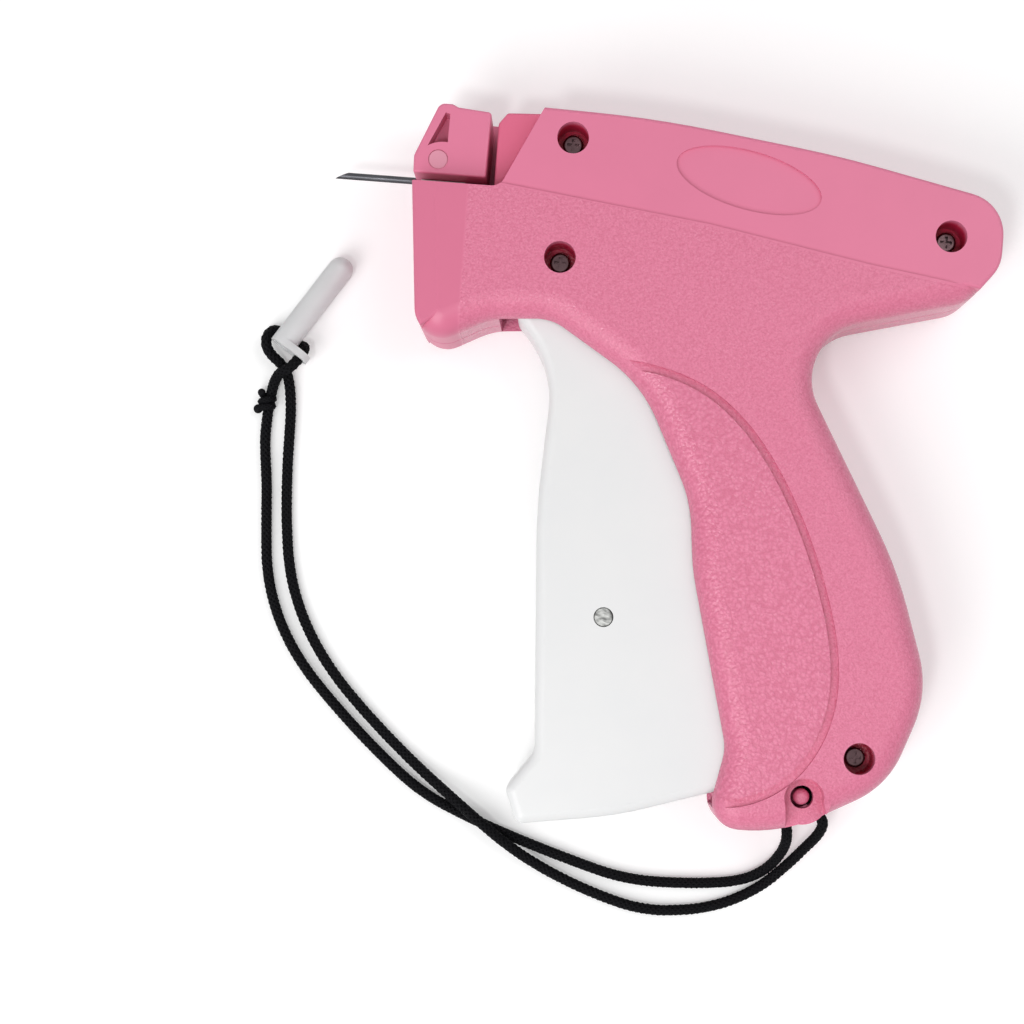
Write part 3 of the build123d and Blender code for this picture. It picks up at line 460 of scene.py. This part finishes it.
def edge_curve(tree, value, low, high, points):
    """Float curve through points (place, result), both as shares of a range, read at a value."""
    node = tree.nodes.new("ShaderNodeFloatCurve")
    curve = node.mapping.curves[0]
    while len(curve.points) < len(points):
        curve.points.new(0.5, 0.5)
    for point, (place, result) in zip(curve.points, points):
        point.location = (place, result)
        point.handle_type = "AUTO"
    node.mapping.update()
    wire(tree, map_range(tree, value, low, high), node.inputs["Value"])
    return node.outputs[0]


def dress(finish, *names):
    """Give CAD nodes a finish."""
    for name in names:
        mesh = nodes[name].data
        mesh.materials.clear()
        mesh.materials.append(finish)


# %% [markdown]
# The pink shell. Its upper band and the cheek of its nose are smooth from the mould; the body below the band
# has a fine hide grain, which is coarser in the palm panel inside the groove. The borders are curves over the
# side view, so the masks come from the Object coordinates of the tool. The colour carries painted shade: a
# deeper pink in the grain's valleys, with a lighter pink as painted light on its crowns, a deeper pink on the
# cheek of the nose, and a dark, saturated red deep in the screw holes, where light bounces from pink to pink.
# The clip guide's deeper pink is painted shade as well.

# %% Pink shell finish
PINK = (0.71, 0.187, 0.31)
# The deeper pink is painted shade, for the grain's valleys and the cheek of the nose; the lighter grain pink
# is painted light on the grain's crowns.
PINK_SHADE = (0.60, 0.13, 0.23)
GRAIN_LIT_PINK = (0.765, 0.213, 0.347)
# The clip guide's deeper pink is painted shade, for where it lies between the nose block and the shell.
GUIDE_SHADED_PINK = (0.68, 0.13, 0.235)
# Dark red of the painted shade deep in the screw holes.
HOLE_SHADE_RED = (0.50, 0.012, 0.06)
BAND_EDGE = [(21.0, -2.0), (65.4, -7.4), (100.0, -13.4), (130.3, -17.6)]
BAND_LEVELS = (-20.0, 0.0)
PANEL_EDGE = [
    (75.0, -130.6),
    (85.2, -128.6),
    (92.3, -123.3),
    (97.1, -115.5),
    (99.2, -106.7),
    (98.6, -96.1),
    (95.9, -85.6),
    (90.1, -71.0),
    (83.2, -58.7),
    (74.9, -48.6),
    (65.9, -42.3),
    (54.9, -39.0),
]
PANEL_REACH = (50.0, 100.0)
NOSE_CHEEK = 13.0
FADE = 0.6
SCREW_SPOTS = [(34.9, 8.9), (34.0, -16.8), (117.1, -6.1), (105.8, -118.9)]
HOLE_RADIUS = 3.8
FACE_LEVEL = 27.0
SPECKS_PER_METRE = 2600.0
BODY_GRAINS_PER_METRE = 1500.0
PALM_GRAINS_PER_METRE = 1200.0
SMOOTH_GLOSS = 0.4


def shell_zones(tree, x, y):
    """Masks over the side view: below the band, behind the cheek of the nose, and inside the palm panel."""
    band = [on_gun(*spot) for spot in BAND_EDGE]
    left_end, right_end = band[0].x, band[-1].x
    low, high = [on_gun(0, level).y for level in BAND_LEVELS]
    band_points = [(share(spot.x, left_end, right_end), share(spot.y, low, high)) for spot in band]
    band_line = map_range(tree, edge_curve(tree, x, left_end, right_end, band_points), 0.0, 1.0, low, high)
    below_band = map_range(tree, math_node(tree, "SUBTRACT", band_line, y), 0.0, FADE * MM)
    behind_cheek = map_range(tree, x, on_gun(NOSE_CHEEK, 0).x, on_gun(NOSE_CHEEK + FADE, 0).x)
    panel = [on_gun(*spot) for spot in PANEL_EDGE]
    bottom, top = panel[0].y, panel[-1].y
    front, back = [on_gun(reach, 0).x for reach in PANEL_REACH]
    panel_points = [(share(spot.y, bottom, top), share(spot.x, front, back)) for spot in panel]
    panel_line = map_range(tree, edge_curve(tree, y, bottom, top, panel_points), 0.0, 1.0, front, back)
    in_panel = map_range(tree, math_node(tree, "SUBTRACT", panel_line, x), 0.0, FADE * MM)
    in_panel = math_node(tree, "MULTIPLY", in_panel, map_range(tree, y, top, top - FADE * MM))
    in_panel = math_node(tree, "MULTIPLY", in_panel, map_range(tree, y, bottom, bottom + FADE * MM))
    return below_band, behind_cheek, in_panel


def painted_hole_shade(tree, z):
    """Mask of the walls deep in the screw holes, which get painted shade."""
    in_hole = 0.0
    for spot in SCREW_SPOTS:
        apart = vector_node(tree, "SUBTRACT", object_place(tree), tuple(on_gun(*spot)))
        across = vector_value(tree, "LENGTH", vector_node(tree, "MULTIPLY", apart, (1.0, 1.0, 0.0)))
        near = map_range(tree, across, (HOLE_RADIUS + 0.2) * MM, HOLE_RADIUS * MM)
        in_hole = math_node(tree, "MAXIMUM", near, in_hole)
    deep = map_range(tree, z, (FACE_LEVEL - 1.2) * MM, (FACE_LEVEL - 3.5) * MM)
    return math_node(tree, "MULTIPLY", in_hole, deep)


def pink_finish(name, pink, grained):
    """Pink plastic; the shell's halves are grained in zones and carry painted shade, other pieces are smooth.
    """
    material, tree, shader = new_finish(name)
    worn = use_group(tree, handling, 55.0)
    colour = mix_colour(tree, clouded(tree, worn), pink, tuple(c * 0.96 for c in pink))
    smooth_height = math_node(tree, "MULTIPLY", worn["Fine"], 0.06)
    if not grained:
        tree.links.new(colour, shader.inputs["Base Color"])
        tree.links.new(clouded(tree, worn, SMOOTH_GLOSS, SMOOTH_GLOSS + 0.08), shader.inputs["Roughness"])
        bump(tree, shader, smooth_height, depth=0.0001)
        return material
    place = tree.nodes.new("ShaderNodeSeparateXYZ")
    tree.links.new(object_place(tree), place.inputs[0])
    x, y, z = place.outputs
    below_band, behind_cheek, in_panel = shell_zones(tree, x, y)
    grained_body = math_node(tree, "MULTIPLY", below_band, behind_cheek)
    specks = use_group(tree, speckle, SPECKS_PER_METRE)
    body_grain = use_group(tree, hide, BODY_GRAINS_PER_METRE)
    palm_grain = use_group(tree, hide, PALM_GRAINS_PER_METRE)
    body_height = mix_value(tree, 0.5, body_grain["Height"], specks["Height"])
    palm_height = mix_value(tree, 0.25, palm_grain["Height"], specks["Height"])
    grain = mix_value(tree, in_panel, body_height, palm_height)
    tall = math_node(tree, "MULTIPLY", grain, mix_value(tree, in_panel, 0.75, 1.2))
    height = mix_value(tree, grained_body, smooth_height, tall)
    # Painted shade in the grain's valleys: the lower the grain, the nearer the colour comes to the deeper
    # pink, and the crowns keep the lighter pink.
    shade = math_node(tree, "MULTIPLY", math_node(tree, "SUBTRACT", 1.0, grain), grained_body)
    colour = mix_colour(tree, grained_body, colour, GRAIN_LIT_PINK)
    colour = mix_colour(tree, math_node(tree, "MULTIPLY", shade, 0.9), colour, PINK_SHADE)
    # Painted shade on the cheek of the nose: half way to the deeper pink.
    cheek = math_node(tree, "MULTIPLY", below_band, math_node(tree, "SUBTRACT", 1.0, behind_cheek))
    colour = mix_colour(tree, math_node(tree, "MULTIPLY", cheek, 0.5), colour, PINK_SHADE)
    # Painted shade deep in the screw holes: a dark, saturated red.
    colour = mix_colour(tree, painted_hole_shade(tree, z), colour, HOLE_SHADE_RED)
    tree.links.new(colour, shader.inputs["Base Color"])
    grain_gloss = mix_value(tree, in_panel, 0.26, 0.22)
    tree.links.new(mix_value(tree, grained_body, SMOOTH_GLOSS, grain_gloss), shader.inputs["Roughness"])
    bump(tree, shader, height, depth=0.00012)
    return material


shell_pink = pink_finish("shell_pink", PINK, grained=True)
nose_pink = pink_finish("nose_pink", PINK, grained=False)
# The clip guide's pink carries painted shade.
guide_shaded_pink = pink_finish("guide_shaded_pink", GUIDE_SHADED_PINK, grained=False)
dress(shell_pink, "left_housing", "right_housing")
dress(nose_pink, "nose_block")
dress(guide_shaded_pink, "clip_guide")
print("pink finishes:", shell_pink.name, nose_pink.name, guide_shaded_pink.name)

# %% [markdown]
# The trigger is a smooth white moulding, the pin in the nose a paler pink, and the inner levers are natural
# acetal. White plastic is never pure white: it has a little cloudiness and a fine orange-peel skin.

# %% Plain plastics


def plain_plastic(name, colour, other, roughness, skin):
    """Smooth moulded plastic with slight clouding between two colours."""
    material, tree, shader = new_finish(name)
    worn = use_group(tree, handling, 45.0)
    tree.links.new(mix_colour(tree, clouded(tree, worn), colour, other), shader.inputs["Base Color"])
    tree.links.new(clouded(tree, worn, roughness, roughness + 0.08), shader.inputs["Roughness"])
    bump(tree, shader, worn["Fine"], depth=skin)
    return material


trigger_white = plain_plastic(
    "trigger_white", (0.765, 0.765, 0.765), (0.735, 0.74, 0.745), roughness=0.3, skin=0.000004
)
pin_pink = plain_plastic("pin_pink", (0.72, 0.30, 0.40), (0.66, 0.26, 0.35), roughness=0.45, skin=0.000008)
acetal = plain_plastic("acetal", (0.70, 0.70, 0.66), (0.66, 0.66, 0.62), roughness=0.4, skin=0.000006)
dress(trigger_white, "trigger")
dress(pin_pink, "needle_lock_pin")
dress(acetal, "needle_base", "drive_lever", "ejector_slide", "feed_wheel", "needle_lock")
print("plain plastics:", trigger_white.name, pin_pink.name, acetal.name)

# %% [markdown]
# Steel: the needle is dark and the pins bright; the screws are darkened and tinted red, as painted shade and
# a painted pink reflection from their deep holes. Turning and drawing leave fine lines, which are a noise
# stretched along the work. The pin in the trigger has a hollow end, drawn as painted shade round its middle,
# with dark streaks as painted reflections of its facets.

# %% Steel
PIN_SPOT = on_gun(49.1, -92.7)
PIN_RADIUS = 4.3 / 2 * MM
CRESCENT_SIDE = (0.93, 0.36, 0.0)
# The pin end's steel colour, and the dark colour of its painted shade.
CUP_BRIGHT = (0.52, 0.525, 0.51)
CUP_SHADE = (0.05, 0.05, 0.05)


def steel(name, colour, other, roughness, stretch):
    """Metal with fine drawn lines."""
    material, tree, shader = new_finish(name)
    shader.inputs["Metallic"].default_value = 1.0
    lines = tree.nodes.new("ShaderNodeMapping")
    lines.inputs["Scale"].default_value = stretch
    tree.links.new(object_place(tree), lines.inputs["Vector"])
    streak = noise(tree, lines.outputs[0], 1.0, detail=3.0, roughness=0.6)
    worn = use_group(tree, handling, 300.0)
    tree.links.new(mix_colour(tree, worn["Patches"], colour, other), shader.inputs["Base Color"])
    tree.links.new(map_range(tree, streak, 0.3, 0.7, roughness, roughness + 0.15), shader.inputs["Roughness"])
    bump(tree, shader, streak, depth=0.000006)
    return material


def cupped_pin(name):
    """Bright pin whose hollow end shows a dark crescent on one side and a thin dark rim, both painted shade,
    and dark streaks that are painted reflections of its facets.
    """
    material, tree, shader = new_finish(name)
    shader.inputs["Metallic"].default_value = 1.0
    shader.inputs["Roughness"].default_value = 0.25
    place = vector_node(tree, "SUBTRACT", object_place(tree), tuple(PIN_SPOT))
    flat = vector_node(tree, "MULTIPLY", place, (1.0 / PIN_RADIUS, 1.0 / PIN_RADIUS, 0.0))
    streaks = noise(tree, vector_node(tree, "MULTIPLY", flat, (1.2, 2.6, 0.0)), 0.9, detail=1.5)
    # Painted shade: a dark crescent on one side of the hollow end, and a thin dark rim at its edge.
    crescent = map_range(tree, vector_value(tree, "DOT_PRODUCT", flat, CRESCENT_SIDE), 0.5, 0.85, 0.0, 0.9)
    rim = map_range(tree, vector_value(tree, "LENGTH", flat), 0.86, 0.97, 0.0, 0.55)
    dark = math_node(tree, "MAXIMUM", crescent, rim)
    # Dark streaks: painted reflections of the end's facets.
    dark = math_node(tree, "MAXIMUM", dark, map_range(tree, streaks, 0.42, 0.66, 0.0, 0.7))
    tree.links.new(mix_colour(tree, dark, CUP_BRIGHT, CUP_SHADE), shader.inputs["Base Color"])
    bump(tree, shader, streaks, depth=0.00008)
    return material


dark_steel = steel(
    "dark_steel", (0.10, 0.10, 0.11), (0.05, 0.05, 0.055), roughness=0.28, stretch=(300.0, 3000.0, 3000.0)
)
# The screws' steel is darkened and tinted red: painted shade and a painted pink reflection from their deep
# holes.
screw_shaded_steel = steel(
    "screw_shaded_steel", (0.20, 0.12, 0.13), (0.02, 0.014, 0.015), roughness=0.14, stretch=(1200.0, 4000.0, 2000.0)
)
bright_steel = steel(
    "bright_steel", (0.72, 0.72, 0.72), (0.6, 0.6, 0.6), roughness=0.12, stretch=(900.0, 2600.0, 900.0)
)
dress(dark_steel, "needle", "knife")
dress(screw_shaded_steel, "housing_screws")
dress(
    bright_steel,
    "link_plates",
    "lever_pivot_pin",
    "lever_foot_pin",
    "ejector_rod",
    "feed_wheel_shaft",
    "feed_pawl",
    "check_leaf",
)
pin_steel = cupped_pin("cupped_pin")
dress(pin_steel, "trigger_link_pin")
print("steels:", dark_steel.name, screw_shaded_steel.name, bright_steel.name, pin_steel.name)

# %% [markdown]
# The needle cap is milky polythene: light enters it and spreads, so it takes some transmission with a rough
# surface rather than clear glass. The cord is black nylon with hardly any shine.

# %% Cap and cord finishes
milky, milky_tree, milky_shader = new_finish("milky_cap")
milky_shader.inputs["Transmission Weight"].default_value = 0.4
milky_shader.inputs["IOR"].default_value = 1.45
milky_worn = use_group(milky_tree, handling, 160.0)
milky_tree.links.new(
    mix_colour(milky_tree, milky_worn["Patches"], (0.88, 0.885, 0.89), (0.81, 0.815, 0.825)),
    milky_shader.inputs["Base Color"],
)
milky_tree.links.new(clouded(milky_tree, milky_worn, 0.3, 0.42), milky_shader.inputs["Roughness"])
bump(milky_tree, milky_shader, milky_worn["Fine"], depth=0.00001)
dress(milky, "needle_cap")

cord_black, cord_tree, cord_shader = new_finish("cord_black")
cord_shader.inputs["Specular IOR Level"].default_value = 0.07
cord_worn = use_group(cord_tree, handling, 700.0)
cord_tree.links.new(
    mix_colour(cord_tree, cord_worn["Patches"], (0.0012, 0.0012, 0.0018), (0.006, 0.006, 0.0075)),
    cord_shader.inputs["Base Color"],
)
cord_tree.links.new(clouded(cord_tree, cord_worn, 0.4, 0.7), cord_shader.inputs["Roughness"])
bump(cord_tree, cord_shader, cord_worn["Fine"], depth=0.00005)
print("soft finishes:", milky.name, cord_black.name)

# %% [markdown]
# The cord itself: the route's points become a chain of edges, the braid tree turns that into yarns, and the
# result is kept as a plain mesh. The modifier's inputs are set before anything reads the object.

# %% Lanyard cord


def grow(name, tree, points, values):
    """Piece that a node tree makes along a chain of points; values go to the tree's inputs by name."""
    chain = bpy.data.meshes.new(name + "_chain")
    chain.from_pydata([tuple(p) for p in points], [(i, i + 1) for i in range(len(points) - 1)], [])
    holder = bpy.data.objects.new(name + "_chain", chain)
    bpy.context.scene.collection.objects.link(holder)
    modifier = holder.modifiers.new("tree", "NODES")
    modifier.node_group = tree
    for item in tree.interface.items_tree:
        if item.in_out == "INPUT" and item.name in values:
            modifier[item.identifier] = values[item.name]
    mesh = bpy.data.meshes.new_from_object(holder.evaluated_get(bpy.context.evaluated_depsgraph_get()))
    mesh.name = name
    bpy.data.objects.remove(holder)
    bpy.data.meshes.remove(chain)
    piece = bpy.data.objects.new(name, mesh)
    bpy.context.scene.collection.objects.link(piece)
    return piece


lanyard = grow("braided_lanyard", braid, cord_line, {"Finish": cord_black})
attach(lanyard, "body")
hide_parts("lanyard_cord")
print("braided lanyard:", len(lanyard.data.polygons), "faces")

# %% [markdown]
# The two ends of the cord are tied and melted on the left strand. The tie is one more, thinner run of cord
# wound tightly round the strand, and each end has shrunk to a small bead in the flame.

# %% Knot
tie_route = [
    (-87.3, 10.4, 2.2),
    (-86.4, 10.6, 3.0),
    (-85.0, 10.8, 3.1),
    (-84.2, 11.1, 1.9),
    (-85.0, 11.4, 0.95),
    (-86.8, 11.6, 1.0),
    (-87.2, 11.9, 2.2),
    (-86.0, 12.2, 3.15),
    (-84.6, 12.5, 2.8),
    (-84.2, 12.8, 1.6),
    (-85.3, 13.0, 1.0),
    (-86.7, 13.2, 1.5),
    (-86.9, 13.6, 2.4),
]
BEADS = [((-87.6, 10.2, 2.1), 1.05), ((-87.0, 13.9, 2.5), 0.9)]
BEAD_SEGMENTS = 20
BEAD_RINGS = 12
tie_line = smooth_line("tie_route", tie_route, resolution=8)
knot = grow(
    "lanyard_tie",
    braid,
    tie_line,
    {
        "Finish": cord_black,
        "Braid Radius": 0.00056,
        "Yarn Radius": 0.00025,
        "Lift": 0.00005,
        "Pitch": 0.0048,
        "Step": 0.0002,
    },
)
melted, melted_tree, melted_shader = new_finish("melted_nylon")
melted_shader.inputs["Base Color"].default_value = (0.004, 0.004, 0.005, 1.0)
melted_worn = use_group(melted_tree, handling, 900.0)
melted_tree.links.new(clouded(melted_tree, melted_worn, 0.12, 0.5), melted_shader.inputs["Roughness"])
bump(melted_tree, melted_shader, melted_worn["Patches"], depth=0.0004)
knot.data.materials.append(melted)
shape = bmesh.new()
shape.from_mesh(knot.data)
for spot, radius in BEADS:
    made = bmesh.ops.create_uvsphere(
        shape,
        u_segments=BEAD_SEGMENTS,
        v_segments=BEAD_RINGS,
        radius=radius * MM,
        matrix=Matrix.Translation(Vector(spot) * MM),
    )
    for face in {face for vertex in made["verts"] for face in vertex.link_faces}:
        face.material_index = 1
        face.smooth = True
shape.to_mesh(knot.data)
shape.free()
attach(knot, "body")
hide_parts("lanyard_knot")
print("knot:", len(knot.data.polygons), "faces")

# %% [markdown]
# The return spring inside twists when the trigger is squeezed: its hook goes with the drive lever and its
# long leg stays with the shell. A small tree turns its line into wire.

# %% Return spring
LEVER_PIN = (87.0, -55.0)
COIL_RADIUS = 2.7
COIL_LEVEL = 3.8
COIL_PITCH = 1.35
COIL_TURNS = 2
COIL_CORNERS = 8
SPRING_LEG = 9.0
HOOK_BEND = 0.9
WIRE_SIDES = 12
coil_spots = [
    (COIL_RADIUS, -SPRING_LEG, -COIL_LEVEL),
    (COIL_RADIUS, -SPRING_LEG, -HOOK_BEND),
    (COIL_RADIUS, -SPRING_LEG, 0.0),
    (COIL_RADIUS, HOOK_BEND - SPRING_LEG, 0.0),
]
coil_reach = COIL_RADIUS / math.cos(math.pi / COIL_CORNERS)
for corner in range(COIL_TURNS * COIL_CORNERS):
    turn = (corner + 0.5) / COIL_CORNERS
    around = TURN * turn
    coil_spots.append((coil_reach * math.cos(around), coil_reach * math.sin(around), COIL_PITCH * turn))
coil_spots.append((COIL_RADIUS, SPRING_LEG, COIL_TURNS * COIL_PITCH))
coil_foot = GUN_ORIGIN + Vector((*LEVER_PIN, COIL_LEVEL))
coil_line = smooth_line("spring_route", [coil_foot + Vector(spot) for spot in coil_spots], resolution=6)

coil = bpy.data.node_groups.new("spring_wire", "GeometryNodeTree")
coil.interface.new_socket(name="Geometry", in_out="OUTPUT", socket_type="NodeSocketGeometry")
add_input(coil, "Geometry", "NodeSocketGeometry")
add_input(coil, "Wire Radius", "NodeSocketFloat", 0.0004)
add_input(coil, "Finish", "NodeSocketMaterial")
coil_inlet = coil.nodes.new("NodeGroupInput").outputs
coil_path = coil.nodes.new("GeometryNodeMeshToCurve")
coil.links.new(coil_inlet["Geometry"], coil_path.inputs[0])
coil_tube = round_tube(coil, coil_path.outputs[0], coil_inlet["Wire Radius"], WIRE_SIDES)
end_tree(coil, coil_tube, coil_inlet["Finish"])
spring = grow("torsion_spring", coil, coil_line, {"Finish": bright_steel})
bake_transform(spring)
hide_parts("return_spring")
print("torsion spring:", len(spring.data.polygons), "faces")

# %% [markdown]
# The table is a wide pale sheet. It looks nearly white and still shows soft shadows, because a little light
# of its own is added for the rays that are looked along, straight or by way of gloss and milky plastic. The
# rays that light the tool don't get it.

# %% Table
TABLE_HALF = 2.0
TABLE_LEVEL = -0.0001
TABLE_GLOW = 0.22


def looked_along(tree):
    """1 for rays that are looked along, 0 for rays that only carry light."""
    rays = tree.nodes.new("ShaderNodeLightPath").outputs
    seen = math_node(tree, "MAXIMUM", rays["Is Camera Ray"], rays["Is Glossy Ray"])
    return math_node(tree, "MAXIMUM", seen, rays["Is Transmission Ray"])


table_mesh = bpy.data.meshes.new("table")
table_corners = [(-1, -1), (1, -1), (1, 1), (-1, 1)]
table_mesh.from_pydata(
    [(x * TABLE_HALF, y * TABLE_HALF, TABLE_LEVEL) for x, y in table_corners], [], [(0, 1, 2, 3)]
)
table = bpy.data.objects.new("table", table_mesh)
bpy.context.scene.collection.objects.link(table)
pale, pale_tree, pale_shader = new_finish("pale_table")
pale_shader.inputs["Base Color"].default_value = (0.86, 0.86, 0.86, 1.0)
pale_shader.inputs["Roughness"].default_value = 0.9
pale_shader.inputs["Specular IOR Level"].default_value = 0.0
glow = pale_tree.nodes.new("ShaderNodeEmission")
glow_strength = math_node(pale_tree, "MULTIPLY", looked_along(pale_tree), TABLE_GLOW)
pale_tree.links.new(glow_strength, glow.inputs["Strength"])
both = pale_tree.nodes.new("ShaderNodeAddShader")
pale_tree.links.new(pale_shader.outputs[0], both.inputs[0])
pale_tree.links.new(glow.outputs[0], both.inputs[1])
pale_tree.links.new(both.outputs[0], pale_tree.nodes["Material Output"].inputs["Surface"])
table_mesh.materials.append(pale)
print("table:", 2 * TABLE_HALF, "m wide")

# %% [markdown]
# The light: a white sky all round, a large lamp at the lower left of the picture, a larger and weaker one at
# the upper right, and a small one high on the left, whose sharp light makes the grain sparkle.

# %% Light
SKY_SEEN = 1.0
SKY_LIGHT = 0.4
world = bpy.data.worlds.new("studio")
bpy.context.scene.world = world
world.use_nodes = True
world_tree = world.node_tree
backdrop = world_tree.nodes["Background"]
backdrop.inputs["Color"].default_value = (1.0, 1.0, 1.0, 1.0)
sky = map_range(world_tree, looked_along(world_tree), 0.0, 1.0, SKY_LIGHT, SKY_SEEN)
world_tree.links.new(sky, backdrop.inputs["Strength"])


def soft_box(name, spot, aim, size, power):
    """Square area lamp at a spot, turned to an aim."""
    lamp = bpy.data.lights.new(name, "AREA")
    lamp.shape = "SQUARE"
    lamp.size = size
    lamp.energy = power
    holder = bpy.data.objects.new(name, lamp)
    holder.location = spot
    holder.rotation_euler = (Vector(aim) - Vector(spot)).to_track_quat("-Z", "Y").to_euler()
    bpy.context.scene.collection.objects.link(holder)


soft_box("key", (-0.35, -0.45, 0.55), (0.0, -0.01, 0.0), size=0.45, power=3.0)
soft_box("fill", (0.45, 0.3, 0.7), (0.0, 0.0, 0.0), size=0.6, power=2.0)
soft_box("spark", (-0.13, -0.22, 0.7), (0.02, -0.02, 0.0), size=0.09, power=1.0)
bpy.context.scene.view_settings.view_transform = "Standard"
